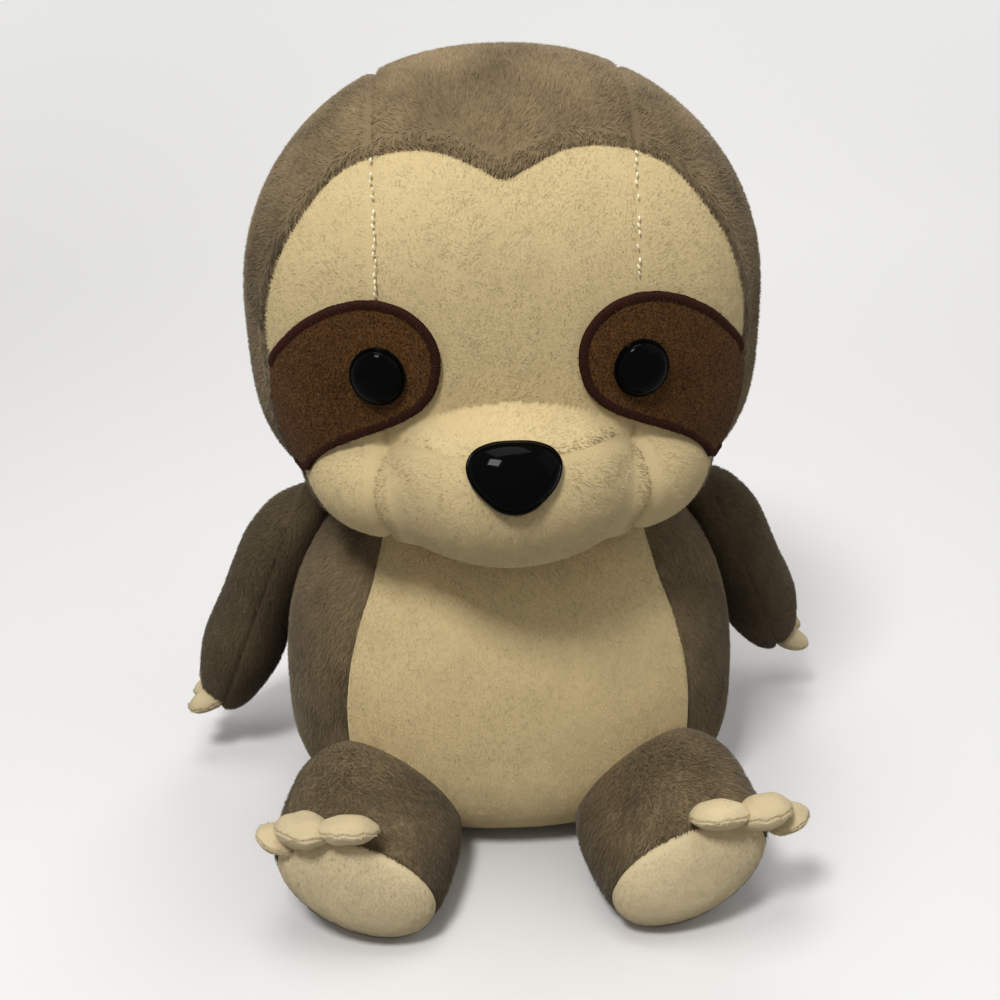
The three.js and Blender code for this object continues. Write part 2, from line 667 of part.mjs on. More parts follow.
const MATERIALS = {
  taupe_plush: { color: TAUPE, roughness: 0.95, metalness: 0 },
  cream_plush: { color: CREAM, roughness: 0.95, metalness: 0 },
  sole_plush: { color: SOLE_CREAM, roughness: 0.95, metalness: 0 },
  patch_suede: { color: SUEDE, roughness: 0.9, metalness: 0 },
  eye_gloss: { color: BLACK, roughness: 0.08, metalness: 0 },
  washer_plastic: { color: WASHER_WHITE, roughness: 0.5, metalness: 0 },
  stuffing_fibre: { color: STUFFING, roughness: 1, metalness: 0 },
};

const sloth = new THREE.Group();

function addPiece(name, materialName, solid) {
  const { vertProperties, numProp, triVerts } = largestBody(solid).getMesh();
  const positions = [];
  for (const vertex of triVerts) {
    positions.push(...vertProperties.subarray(vertex * numProp, vertex * numProp + 3));
  }
  const geometry = new THREE.BufferGeometry();
  geometry.setAttribute('position', new THREE.Float32BufferAttribute(positions, 3));
  geometry.computeVertexNormals();
  const mesh = new THREE.Mesh(geometry, new THREE.MeshStandardMaterial(MATERIALS[materialName]));
  mesh.name = name;
  sloth.add(mesh);
}

// The body: one stuffed core in a skin of seven panels, with a dish for the neck on top.
function addBody() {
  const dish = neckBall(NECK_GAP);
  const skinSpace = roundSolid(bodyPoint, BODY_AROUND, BODY_RINGS);
  const lining = (grow) => roundSolid(bodyPoint, BODY_LINING_AROUND, BODY_LINING_RINGS, grow);
  const skin = skinSpace.intersect(aboveHeight(0))
    .subtract(lining(-FABRIC).intersect(aboveHeight(FABRIC))).subtract(dish);
  const core = lining(-FABRIC - LINING_GAP).intersect(aboveHeight(FABRIC + LINING_GAP)).subtract(dish);
  addPiece('body_stuffing', 'stuffing_fibre', core);
  const [wall, seat] = seamSides(skin, UP, vec(0, 0, SEAT_SEAM_HEIGHT));
  addPiece('seat_panel', 'taupe_plush', seat);
  const bellyLoop = mirroredOutline(BELLY_OUTLINE_SHARES.map(([across, up]) => [
    across * BODY_HALF_WIDTH, up * BODY_HEIGHT,
  ]));
  const [belly, rest] = loopSides(wall, bellyLoop, SIDE_SEAM_BACK);
  addPiece('belly_panel', 'cream_plush', belly);
  const [front, back] = seamSides(rest, FORWARD, vec(0, SIDE_SEAM_BACK, 0));
  const [backLeft, backRight] = seamSides(back, ACROSS, vec(0, 0, 0));
  for (const { side, sideName } of SIDES) {
    const sidePanel = front.intersect(halfSpace(ACROSS.clone().multiplyScalar(side), vec(0, 0, 0)));
    addPiece(`body_side_${sideName}`, 'taupe_plush', sidePanel);
    addPiece(`back_${sideName}`, 'taupe_plush', side > 0 ? backLeft : backRight);
  }
}

// The head: a stuffed core in a hood and a face of panels, with the eyes and the nose.
function addHead() {
  const turningBody = roundSolid(bodyPointWith(HEAD_TURN_DEGREES), BODY_AROUND, BODY_RINGS, GAP);
  const below = sweptSpace(turningBody, ACROSS, NECK, -HEAD_NOD_DEGREES, HEAD_NOD_DEGREES)
    .add(neckBall(NECK_GAP));
  const noseSeat = headSeat(0, -NOSE_DROP);
  const nosePocket = nosePiece(noseSeat, GAP);
  const eyeHeight = 2 * GAP + PATCH_THICKNESS;
  const washerRadius = EYE_RADIUS - GAP;
  let skin = headSolid(0).subtract(headSolid(-FABRIC)).subtract(below).subtract(nosePocket);
  let core = headSolid(-FABRIC - LINING_GAP).subtract(below).subtract(nosePocket)
    .subtract(washerPocket(noseSeat, NOSE_WASHER_RADIUS, NOSE_WASHER_DEPTH, 0));
  let patches = headSolid(GAP + PATCH_THICKNESS).subtract(headSolid(GAP));
  for (const { side, sideName } of SIDES) {
    const eyeSeat = headSeat(side * EYE_ACROSS, -EYE_DROP);
    const stemHole = borePiece(eyeSeat, STEM_RADIUS + GAP, -STEM_LENGTH, STEM_LENGTH);
    skin = skin.subtract(stemHole);
    patches = patches.subtract(stemHole);
    core = core.subtract(washerPocket(eyeSeat, washerRadius, WASHER_DEPTH, eyeHeight));
    addPiece(`eye_${sideName}`, 'eye_gloss', eyePiece(eyeSeat, eyeHeight));
    const washer = washerPiece(eyeSeat, washerRadius, WASHER_DEPTH);
    addPiece(`eye_washer_${sideName}`, 'washer_plastic', washer);
  }
  addPiece('head_stuffing', 'stuffing_fibre', core);
  addPiece('nose', 'eye_gloss', nosePiece(noseSeat, 0));
  const noseWasher = washerPiece(noseSeat, NOSE_WASHER_RADIUS, NOSE_WASHER_DEPTH);
  addPiece('nose_washer', 'washer_plastic', noseWasher);
  addHeadPanels(skin);
  const patchLoop = faceLoop(PATCH_SHARES);
  for (const { side, sideName } of SIDES) {
    const loop = patchLoop.map(([x, z]) => [side * x, z]);
    const piece = patches.intersect(frontPrism(side > 0 ? loop : loop.reverse(), FACE_BACK_EDGE));
    addPiece(`eye_patch_${sideName}`, 'patch_suede', piece);
  }
}

const faceLoop = (shares) => shares.map(([across, up]) => [
  across * HEAD_HALF_WIDTH, HEAD_CENTRE.z + up * HEAD_TOP_RISE,
]);

// The hood and the face are each cut by the two gusset seams, and the muzzle has its own panel.
function addHeadPanels(skin) {
  const [face, hood] = loopSides(skin, faceLoop(mirroredOutline(HAIRLINE_SHARES)), FACE_BACK_EDGE);
  const muzzleLoop = faceLoop(mirroredOutline(MUZZLE_PANEL_SHARES));
  const [muzzle, faceRest] = loopSides(face, muzzleLoop, FACE_BACK_EDGE);
  addPiece('muzzle_front', 'cream_plush', muzzle);
  const edges = SIDES.map(({ side }) => vec(side * GUSSET_HALF_WIDTH, 0, 0));
  for (const [part, name, materialName] of [
    [hood, 'hood', 'taupe_plush'], [faceRest, 'face', 'cream_plush'],
  ]) {
    const [left, notLeft] = seamSides(part, ACROSS, edges[0]);
    const [centre, right] = seamSides(notLeft, ACROSS, edges[1]);
    addPiece(`${name}_left`, materialName, left);
    addPiece(`${name}_centre`, materialName, centre);
    addPiece(`${name}_right`, materialName, right);
  }
}

function addArm(side, sideName) {
  const swing = side > 0 ? ARM_SWING_LEFT_DEGREES : ARM_SWING_RIGHT_DEGREES;
  const frame = armFrame(side, swing);
  const armPoint = limbPointWith(frame);
  const rings = ARM_PROFILE_SHARES.length - 1;
  const solid = (grow) => roundSolid(armPoint, ARM_AROUND, rings, grow);
  const lift = BACKWARD.clone().multiplyScalar(side);
  const bodyBeside = sweptSpace(bodySpace, lift, frame.root, 0, ARM_LIFT_DEGREES);
  const skin = solid(0).subtract(solid(-FABRIC)).subtract(bodyBeside);
  const seam = frame.root.clone().addScaledVector(frame.outWay, ARM_HALF_THICKNESS);
  const [outer, inner] = seamSides(skin, frame.outWay, seam);
  addPiece(`arm_outer_${sideName}`, 'taupe_plush', outer);
  addPiece(`arm_inner_${sideName}`, 'taupe_plush', inner);
  const core = solid(-FABRIC - LINING_GAP).subtract(bodyBeside)
    .intersect(halfSpace(frame.alongWay, frame.root));
  addPiece(`arm_stuffing_${sideName}`, 'stuffing_fibre', core);
  addPiece(`hand_claws_${sideName}`, 'sole_plush', handClaws(frame, solid(GAP)));
}

function addLeg(side, sideName) {
  const frame = legFrame(side);
  const legPoint = limbPointWith(frame);
  const rings = LEG_PROFILE_SHARES.length - 1;
  const solid = (grow) => roundSolid(legPoint, LEG_AROUND, rings, grow);
  const bodyInFront = sweptSpace(bodySpace, ACROSS, hipPoint, 0, -LEG_LIFT_DEGREES);
  const skin = solid(0).intersect(aboveHeight(0)).subtract(solid(-FABRIC)).subtract(bodyInFront);
  const lean = radians(SOLE_LEAN_DEGREES);
  const seamNormal = frame.alongWay.clone().multiplyScalar(Math.cos(lean))
    .addScaledVector(UP, -Math.sin(lean));
  const seam = frame.root.clone().addScaledVector(frame.alongWay, LEG_LENGTH * SOLE_SEAM_SHARE);
  const [sole, upper] = seamSides(skin, seamNormal, seam);
  addPiece(`sole_${sideName}`, 'sole_plush', sole);
  addPiece(`leg_upper_${sideName}`, 'taupe_plush', upper);
  const core = solid(-FABRIC - LINING_GAP).subtract(bodyInFront);
  addPiece(`leg_stuffing_${sideName}`, 'stuffing_fibre', core);
  addPiece(`foot_claws_${sideName}`, 'sole_plush', footClaws(frame, solid(GAP)));
}

addBody();
addPiece('neck_stuffing', 'stuffing_fibre', neckBall(0));
addHead();
for (const { side, sideName } of SIDES) {
  addArm(side, sideName);
  addLeg(side, sideName);
}

// The origin is moved on the floor to below the middle of the whole toy.
const extent = new THREE.Box3().setFromObject(sloth);
const middle = extent.getCenter(vec(0, 0, 0));
sloth.children.forEach(({ geometry }) => geometry.translate(-middle.x, -middle.y, -extent.min.z));

export default sloth;
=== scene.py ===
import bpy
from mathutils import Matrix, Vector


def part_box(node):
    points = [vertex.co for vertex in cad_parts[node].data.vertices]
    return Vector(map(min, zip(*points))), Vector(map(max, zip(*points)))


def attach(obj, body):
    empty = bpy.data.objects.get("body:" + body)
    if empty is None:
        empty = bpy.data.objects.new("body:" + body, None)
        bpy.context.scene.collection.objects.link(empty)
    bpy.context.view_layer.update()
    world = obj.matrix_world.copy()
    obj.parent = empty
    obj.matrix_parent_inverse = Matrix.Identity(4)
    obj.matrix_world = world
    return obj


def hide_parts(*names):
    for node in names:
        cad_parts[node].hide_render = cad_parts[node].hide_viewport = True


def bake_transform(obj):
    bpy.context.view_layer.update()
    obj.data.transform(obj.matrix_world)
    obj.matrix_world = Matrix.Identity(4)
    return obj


bl_info = {
    "name": "Plush sloth",
    "version": (1, 0, 0),
    "blender": (4, 5, 0),
    "location": "3D View > Sidebar > Plush Sloth",
    "description": "Dresses the packed frame of a plush sloth with its pile, seams and fittings",
    "category": "Object",
}

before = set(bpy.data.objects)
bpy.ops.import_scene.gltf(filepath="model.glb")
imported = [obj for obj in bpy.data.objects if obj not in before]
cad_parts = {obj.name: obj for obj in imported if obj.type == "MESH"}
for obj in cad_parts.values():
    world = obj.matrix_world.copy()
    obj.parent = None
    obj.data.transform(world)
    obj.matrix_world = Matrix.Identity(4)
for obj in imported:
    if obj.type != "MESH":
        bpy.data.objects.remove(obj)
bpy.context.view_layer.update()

import bpy
import numpy as np
from bpy.props import FloatProperty, FloatVectorProperty, IntProperty, PointerProperty
from mathutils import Matrix, Vector

MM = 0.001
UP = np.array([0.0, 0.0, 1.0])
ACROSS = np.array([1.0, 0.0, 0.0])
AHEAD = np.array([0.0, -1.0, 0.0])
SIDES = (("left", 1.0), ("right", -1.0))

# The forms are written in millimetres from the point on the floor below the neck.
NECK_LOW, NECK_HIGH = (np.array(corner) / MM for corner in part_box("neck_stuffing"))
ORIGIN = np.array([(NECK_LOW[0] + NECK_HIGH[0]) / 2, (NECK_LOW[1] + NECK_HIGH[1]) / 2, 0.0])
NECK = np.array([0.0, 0.0, (NECK_LOW[2] + NECK_HIGH[2]) / 2])
HEAD_CENTRE = np.array([0.0, -12.0, NECK[2] + 66.0])


def srgb(red, green, blue):
    """Linear colour of a screen colour given from 0 to 255."""
    value = np.array([red, green, blue]) / 255
    return tuple(np.where(value <= 0.04045, value / 12.92, ((value + 0.055) / 1.055) ** 2.4))


def length_property(name, description, size):
    """A length, given in millimetres."""
    return FloatProperty(name=name, description=description, default=size * MM,
                         unit="LENGTH", subtype="DISTANCE", precision=5)


def colour_property(name, description, colour):
    """A linear colour."""
    return FloatVectorProperty(name=name, description=description, subtype="COLOR", default=colour)


class PileSizes(bpy.types.PropertyGroup):
    """Sizes and colours of the plush."""

    length: length_property("Pile length", "Length of the long pile", 2.0)
    short_length: length_property(
        "Short pile length", "Length of the pile of the face, the belly and the soles", 1.35)
    width: length_property("Tuft width", "Width of one tuft of fibres at its root", 0.4)
    density: FloatProperty(
        name="Tufts on a square millimetre", description="How close the tufts stand", default=2.3)
    seed: IntProperty(name="Seed", description="Start of the random placing", default=7)
    taupe: colour_property("Taupe", "Colour of the coat", srgb(134, 116, 86))
    cream: colour_property("Cream", "Colour of the face and the belly", srgb(224, 201, 150))
    sole: colour_property("Sole", "Colour of the soles and the claws", srgb(218, 199, 158))


class TrimSizes(bpy.types.PropertyGroup):
    """Sizes and colours of the patches, the eyes, the nose and the stitching."""

    patch: colour_property("Patch", "Colour of the eye patches", srgb(84, 56, 27))
    border: colour_property(
        "Border", "Colour of the satin stitch round the patches", srgb(44, 20, 12))
    gloss: colour_property("Gloss", "Colour of the eyes and the nose", (0.001, 0.001, 0.001))
    border_width: length_property("Border width", "Width of the satin stitch", 3.1)


# Shapes

def unit(vectors):
    """Each vector divided by its length."""
    return vectors / np.maximum(np.linalg.norm(vectors, axis=-1, keepdims=True), 1e-12)


def dot(first, second):
    """Sum of the products along the last axis, which is kept."""
    return np.sum(first * second, axis=-1, keepdims=True)


def flattened(vectors, normals):
    """The part of each vector that lies in the surface, at unit length."""
    return unit(vectors - dot(vectors, normals) * normals)


def noise(points, size, seed):
    """Smooth random value from -1 to 1: hashed values on a lattice of the given size, blended
    from the eight corners of each cell with smooth steps."""
    place = points / size + 512.0
    cell = np.floor(place).astype(np.int64)
    share = place - cell
    share = share * share * (3 - 2 * share)
    total = 0.0
    for corner in np.ndindex(2, 2, 2):
        at = cell + corner
        mixed = (at[..., 0] * 73856093) ^ (at[..., 1] * 19349663) ^ (at[..., 2] * 83492791)
        mixed = (mixed ^ (seed * 40503 + 977)) & 0xFFFFFFFF
        mixed = ((mixed ^ (mixed >> 13)) * 1274126177) & 0xFFFFFFFF
        mixed = (mixed ^ (mixed >> 16)) & 0xFFFF
        total = total + np.prod(np.where(corner, share, 1 - share), axis=-1) * mixed / 65535
    return 2 * total - 1


def blended(table, column, row):
    """Values of a table between its cells, each blended from the four around its place."""
    i = np.minimum(column.astype(int), table.shape[0] - 2)
    j = np.minimum(row.astype(int), table.shape[1] - 2)
    shape = column.shape + (1,) * (table.ndim - 2)
    a, b = (column - i).reshape(shape), (row - j).reshape(shape)
    return ((table[i, j] * (1 - a) + table[i + 1, j] * a) * (1 - b)
            + (table[i, j + 1] * (1 - a) + table[i + 1, j + 1] * a) * b)


def ball_way(turn, rise):
    """Direction at a turn round from the front and at a rise from the level."""
    turn, rise = np.broadcast_arrays(turn, rise)
    return np.stack([np.cos(rise) * np.sin(turn), -np.cos(rise) * np.cos(turn), np.sin(rise)], -1)


def even_way(around, along):
    """Direction at even shares of the whole turn and of the way from bottom to top."""
    return ball_way(around * 2 * np.pi, (along - 0.5) * np.pi)


BODY = dict(wide=83.0, front=66.0, back=62.0, widest=42.0, rise=90.0, drop=46.0,
            top=2.4, base=3.0, plan=2.2)


def body_plan(turn, sweep=0.0):
    """Radius in plan: a squared-off oval, or the largest within the sweep to either side."""
    radii = []
    for share in (-1, -0.5, 0, 0.5, 1) if sweep else (0,):
        angle = turn + share * sweep
        depth = np.where(np.cos(angle) > 0, BODY["front"], BODY["back"])
        radii.append((np.abs(np.sin(angle) / BODY["wide"]) ** BODY["plan"]
                      + np.abs(np.cos(angle) / depth) ** BODY["plan"]) ** (-1 / BODY["plan"]))
    return np.max(radii, axis=0)


def body_point(around, along):
    """The plan oval, swelling and tapering with the height as a squared-off oval does."""
    turn = around * 2 * np.pi
    rise = (along - 0.5) * np.pi
    power = np.where(rise > 0, BODY["top"], BODY["base"])
    reach = np.where(rise > 0, BODY["rise"], BODY["drop"])
    radius = np.maximum(np.cos(rise), 0) ** (2 / power) * body_plan(turn)
    height = BODY["widest"] + reach * np.sign(rise) * np.abs(np.sin(rise)) ** (2 / power)
    return np.stack([radius * np.sin(turn), -radius * np.cos(turn), height], -1)


def inside_body(points, grow=0.0, sweep=0.0):
    """How far each point is inside the body's side, grown, along its own radius."""
    level = points[..., 2] - BODY["widest"]
    power = np.where(level > 0, BODY["top"], BODY["base"])
    reach = np.where(level > 0, BODY["rise"], BODY["drop"]) + grow
    sine = np.minimum(np.abs(level) / reach, 1) ** (power / 2)
    ring = np.maximum(1 - sine ** 2, 0) ** (1 / power)
    turn = np.arctan2(points[..., 0], -points[..., 1])
    radius = np.hypot(points[..., 0], points[..., 1])
    return np.where(sine < 1, ring * (body_plan(turn, sweep) + grow) - radius, -1.0)


SKULL = dict(wide=83.0, front=57.0, back=72.0, rise=76.5, drop=63.0,
             top=2.1, base=3.7, plan=2.6)
SWELLINGS = ((np.array([0.0, -44.0, 146.0]), np.array([45.0, 49.5, 31.5])),
             (np.array([34.0, -33.0, 143.5]), np.array([33.0, 41.0, 24.0])),
             (np.array([-34.0, -33.0, 143.5]), np.array([33.0, 41.0, 24.0])))
FACE_BLEND = 2.5


def head_reach(way):
    """Distance from the head's middle to its surface: the skull's squared-off oval, one power in
    plan and another above and below the middle, with the muzzle and the two cheeks, each an
    ellipsoid, joined to it by a rounded maximum."""
    depth = np.where(way[..., 1] < 0, SKULL["front"], SKULL["back"])
    level = (np.abs(way[..., 0] / SKULL["wide"]) ** SKULL["plan"]
             + np.abs(way[..., 1] / depth) ** SKULL["plan"]) ** (1 / SKULL["plan"])
    above = way[..., 2] > 0
    power = np.where(above, SKULL["top"], SKULL["base"])
    high = np.where(above, SKULL["rise"], SKULL["drop"])
    reach = (level ** power + np.abs(way[..., 2] / high) ** power) ** (-1 / power)
    for centre, size in SWELLINGS:
        start = (HEAD_CENTRE - centre) / size
        step = way / size
        square = np.sum(step * step, -1)
        half = np.sum(step * start, -1)
        inside = half * half - square * (start @ start - 1)
        far = np.where(inside > 0, (np.sqrt(np.maximum(inside, 0)) - half) / square, 0)
        far = np.maximum(far, 0)
        reach = 0.5 * (reach + far + np.hypot(reach - far, FACE_BLEND))
    return reach


FACE_CROWDING = 0.35


def head_way(turn, rise):
    """Direction from the head's middle, with the turns closer together at the face."""
    return ball_way(turn - FACE_CROWDING * np.sin(turn), rise)


def even_rises(columns=360, steps=1400, rows=400):
    """For each turn, the rises that lie at even steps along the head's own outline there."""
    rise = np.linspace(-np.pi / 2, np.pi / 2, steps)
    turn = np.arange(columns + 1) / columns * 2 * np.pi
    way = head_way(turn[:, None], rise[None])
    curve = way * head_reach(way)[..., None]
    step = np.linalg.norm(np.diff(curve, axis=1), axis=-1)
    length = np.concatenate([np.zeros((columns + 1, 1)), np.cumsum(step, 1)], 1)
    share = length / length[:, -1:]
    even = np.linspace(0, 1, rows + 1)
    return np.stack([np.interp(even, row, rise) for row in share])


HEAD_RISES = even_rises()


def head_point(around, along):
    """The head's surface in the direction of a turn and of a rise looked up in the table of
    even steps, blended between its columns and rows."""
    columns, rows = np.array(HEAD_RISES.shape) - 1
    rise = blended(HEAD_RISES, around % 1.0 * columns, np.clip(along, 0, 1) * rows)
    way = head_way(around * 2 * np.pi, rise)
    return HEAD_CENTRE + way * head_reach(way)[..., None]


def inside_head(points):
    """How far each point is inside the head, along its direction from the head's middle."""
    offset = points - HEAD_CENTRE
    return head_reach(unit(offset)) - np.linalg.norm(offset, axis=-1)


def head_front(across, up, deepest=-130.0, nearest=0.0, halvings=40):
    """Points of the head's front at the given places across and up, found by halving."""
    near, far = np.full(across.shape, nearest), np.full(across.shape, deepest)
    for _ in range(halvings):
        middle = (near + far) / 2
        within = inside_head(np.stack([across, middle, up], -1)) > 0
        near, far = np.where(within, middle, near), np.where(within, far, middle)
    return np.stack([across, near, up], -1)


class Seat:
    """A place on the front of the head, with its ways across, up and outward."""

    def __init__(self, across, up, step=2.4):
        x = HEAD_CENTRE[0] + across + step * np.array([0, 1, -1, 0, 0])
        z = HEAD_CENTRE[2] + up + step * np.array([0, 0, 0, 1, -1])
        spots = head_front(x, z)
        self.point = spots[0]
        self.out = unit(np.cross(spots[1] - spots[2], spots[3] - spots[4]))
        self.across = unit(np.cross(UP, self.out))
        self.up = np.cross(self.out, self.across)

    def placed(self, points):
        """Points given across, up and out from the seat, moved to their place on the head."""
        return (self.point + points[..., :1] * self.across + points[..., 1:2] * self.up
                + points[..., 2:] * self.out)


class Limb:
    """Ovals of shared size set along a line, offset to one side of it. It keeps two shares of its
    length for a bend, which are not used."""

    def __init__(self, root, along, out, third, length, wide, thick, rows, bend, roll=0.0):
        self.root, self.along, self.out, self.third = root, along, out, third
        self.side = np.cross(third, along)
        self.length, self.wide, self.thick = length, wide, thick
        self.rows, self.roll = np.array(rows), roll
        self.bend = bend

    def point(self, around, along):
        """An oval at its place along the line, rolled, and moved out by its share."""
        stations = np.linspace(0, 1, len(self.rows))
        fine = np.clip(along, 0, 1)
        way, size, offset = (smooth_rows(fine, stations, self.rows[:, column])
                             for column in range(3))
        turn = around * 2 * np.pi
        wide, thick = self.wide * size * np.cos(turn), self.thick * size * np.sin(turn)
        cos, sin = np.cos(self.roll), np.sin(self.roll)
        return (self.root + (way * self.length)[..., None] * self.along
                + (wide * cos - thick * sin)[..., None] * self.side
                + (wide * sin + thick * cos + self.thick * offset)[..., None] * self.third)


def smooth_rows(place, stations, values):
    """Values between the rows, on a curve through them with slopes that never overshoot."""
    step = stations[1] - stations[0]
    rise = np.diff(values) / step
    slope = np.zeros(len(values))
    same = rise[:-1] * rise[1:] > 0
    slope[1:-1][same] = (2 * rise[:-1] * rise[1:] / (rise[:-1] + rise[1:] + 1e-12))[same]
    slope[0], slope[-1] = rise[0], rise[-1]
    index = np.clip((place / step).astype(int), 0, len(values) - 2)
    share = place / step - index
    square, cube = share ** 2, share ** 3
    return ((2 * cube - 3 * square + 1) * values[index]
            + (cube - 2 * square + share) * step * slope[index]
            + (3 * square - 2 * cube) * values[index + 1]
            + (cube - square) * step * slope[index + 1])


# Each row has its place along the limb, its size and its shift outward, as shares.
ARM_ROWS = ((-0.08, 0, 0), (-0.07, 0.32, 0.32), (-0.02, 0.46, 0.46), (0.04, 0.58, 0.58),
            (0.145, 0.84, 0.84), (0.3, 0.98, 0.98), (0.5, 1, 1), (0.69, 1.08, 1),
            (0.86, 0.88, 1.01), (0.94, 0.66, 1), (0.98, 0.42, 0.97), (1, 0, 0.93))
LEG_ROWS = ((-0.66, 0, 0), (-0.63, 0.33, 0), (-0.53, 0.62, 0), (-0.36, 0.85, 0),
            (-0.17, 0.965, 0), (0.06, 1, 0), (0.32, 0.995, 0), (0.56, 0.965, 0), (0.7, 0.93, 0),
            (0.8, 0.89, 0), (0.88, 0.78, 0), (0.945, 0.59, 0), (0.985, 0.34, 0), (1, 0, 0))
ARM_BEND, LEG_BEND = (-0.1, 0.02), (-0.35, 0.25)
ARM_LENGTH, ARM_WIDE, ARM_THICK = 107, 18, 14.7
LEG_LENGTH, LOBE_SHIFT = 44.0, 3.7
LEG_WIDE, LEG_HIGH, LEG_ROLL, LEG_YAW = 31.2, 21.0, np.radians(30.5), np.radians(10)


def arm_limb(side):
    """The arm hangs from the shoulder, tilted out. The left one rests swung back."""
    tilt, swing = np.radians(22.5), np.radians(19.5 if side > 0 else 5)
    hang = np.array([side * np.sin(tilt), 0, -np.cos(tilt)])
    along = hang * np.cos(swing) + np.array([0, 1, 0]) * np.sin(swing)
    out = np.array([side * np.cos(tilt), 0, np.sin(tilt)])
    shoulder = np.array([side * 59.5, 8, 112])
    return Limb(shoulder, along, out, out, ARM_LENGTH, ARM_WIDE, ARM_THICK, ARM_ROWS, ARM_BEND)


def leg_limb(side):
    """The leg lies forward, turned out, and its oval rolls so that the outer toes are high."""
    along = np.array([side * np.sin(LEG_YAW), -np.cos(LEG_YAW), 0])
    out = np.array([side * np.cos(LEG_YAW), np.sin(LEG_YAW), 0])
    lowest = np.hypot(LEG_WIDE * np.sin(LEG_ROLL), LEG_HIGH * np.cos(LEG_ROLL))
    root = np.array([side * 48, -65, lowest - 0.5])
    return Limb(root, along, out, UP, LEG_LENGTH, LEG_WIDE, LEG_HIGH, LEG_ROWS, LEG_BEND,
                side * LEG_ROLL)


ARMS = {name: arm_limb(side) for name, side in SIDES}
LEGS = {name: leg_limb(side) for name, side in SIDES}


# Outlines on the face and the belly, seen from the front

def closed_curve(half, scale, centre, spacing=0.8):
    """A smooth loop through a half outline and its mirror image, at an even spacing."""
    half = np.array(half)
    mirror = half[half[:, 0] > 0][::-1] * (-1, 1)
    return smooth_loop(np.vstack([half, mirror]) * scale + centre, spacing)


def smooth_loop(points, spacing=0.8):
    """A curve through the points, each stretch a cubic with slopes from the points beside it."""
    before, after, last = np.roll(points, 1, 0), np.roll(points, -1, 0), np.roll(points, -2, 0)
    share = np.linspace(0, 1, 24, endpoint=False)[None, :, None]
    one, two, three, four = (item[:, None] for item in (before, points, after, last))
    curve = 0.5 * (2 * two + (three - one) * share
                   + (2 * one - 5 * two + 4 * three - four) * share ** 2
                   + (3 * two - one - 3 * three + four) * share ** 3)
    curve = curve.reshape(-1, 2)
    closed = np.vstack([curve, curve[:1]])
    length = np.concatenate([[0], np.cumsum(np.linalg.norm(np.diff(closed, axis=0), axis=1))])
    even = np.linspace(0, length[-1], max(int(length[-1] / spacing), 12), endpoint=False)
    return np.stack([np.interp(even, length, axis) for axis in closed.T], -1)


class Outline:
    """A loop seen from the front, with its signed distance kept on a grid of square cells."""

    def __init__(self, loop, cell=1.0, margin=14.0):
        self.loop, self.cell = loop, cell
        self.low = loop.min(0) - margin
        count = np.ceil((loop.max(0) + margin - self.low) / cell).astype(int) + 1
        across, up = np.meshgrid(*(np.arange(size) for size in count), indexing="ij")
        spots = np.stack([across.ravel(), up.ravel()], -1) * cell + self.low
        self.count = count
        self.field = self.measured(spots).reshape(*count)
        self.slope = np.stack(np.gradient(self.field, cell), -1)

    def measured(self, spots):
        """Least distance to the loop's edges, positive inside by the parity of the edges
        crossed on the way out to one side."""
        start, end = self.loop, np.roll(self.loop, -1, 0)
        span = end - start
        flat = spots[:, None]
        share = np.clip(np.sum((flat - start) * span, -1) / np.sum(span * span, -1), 0, 1)
        offset = flat - (start + share[..., None] * span)
        least = np.sqrt(np.min(np.sum(offset * offset, -1), 1))
        above = (start[:, 1] > flat[..., 1]) != (end[:, 1] > flat[..., 1])
        rise = np.where(end[:, 1] == start[:, 1], 1e-9, end[:, 1] - start[:, 1])
        cross = start[:, 0] + (flat[..., 1] - start[:, 1]) * span[:, 0] / rise
        within = np.sum(above & (flat[..., 0] < cross), 1) % 2 == 1
        return np.where(within, least, -least)

    def sampled(self, table, places):
        """Values of a table of the grid at places between its cells."""
        place = np.clip((places - self.low) / self.cell, 0, self.count - 1.001)
        return blended(table, place[:, 0], place[:, 1])

    def inside(self, points, normals=None):
        """Signed distance inside the loop, stretched where the surface turns from the view."""
        places = points[:, [0, 2]]
        least = self.sampled(self.field, places)
        if normals is None:
            return least
        slope = unit(self.sampled(self.slope, places))
        return least / stretch(np.sum(slope * normals[:, [0, 2]], -1))


def stretch(tilt):
    """How much shorter a step on a surface looks when it tilts towards the view: the square
    root of 1 less the square of the tilt."""
    return np.sqrt(np.maximum(1 - tilt * tilt, 0.02))


HEAD_SCALE = np.array([SKULL["wide"], SKULL["rise"]])
FACE_BACK = -32.0
GUSSET = 38.0
HAIRLINE = Outline(closed_curve(
    ((0, 0.59), (0.094, 0.633), (0.205, 0.681), (0.326, 0.693), (0.457, 0.668), (0.582, 0.608),
     (0.692, 0.491), (0.8, 0.325), (0.855, 0.19), (0.888, 0.06), (0.895, -0.06), (0.888, -0.16),
     (0.888, -0.27), (0.878, -0.38), (0.855, -0.49), (0.822, -0.58), (0.78, -0.66), (0.7, -0.78),
     (0.58, -0.92), (0.4, -1.1)), HEAD_SCALE, HEAD_CENTRE[[0, 2]]))
MUZZLE_EDGE = Outline(closed_curve(
    ((0, -0.382), (0.25, -0.382), (0.35, -0.386), (0.42, -0.402), (0.468, -0.45), (0.498, -0.516),
     (0.511, -0.583), (0.505, -0.673), (0.475, -0.775), (0.455, -0.9), (0.45, -1.2)),
    HEAD_SCALE, HEAD_CENTRE[[0, 2]]))
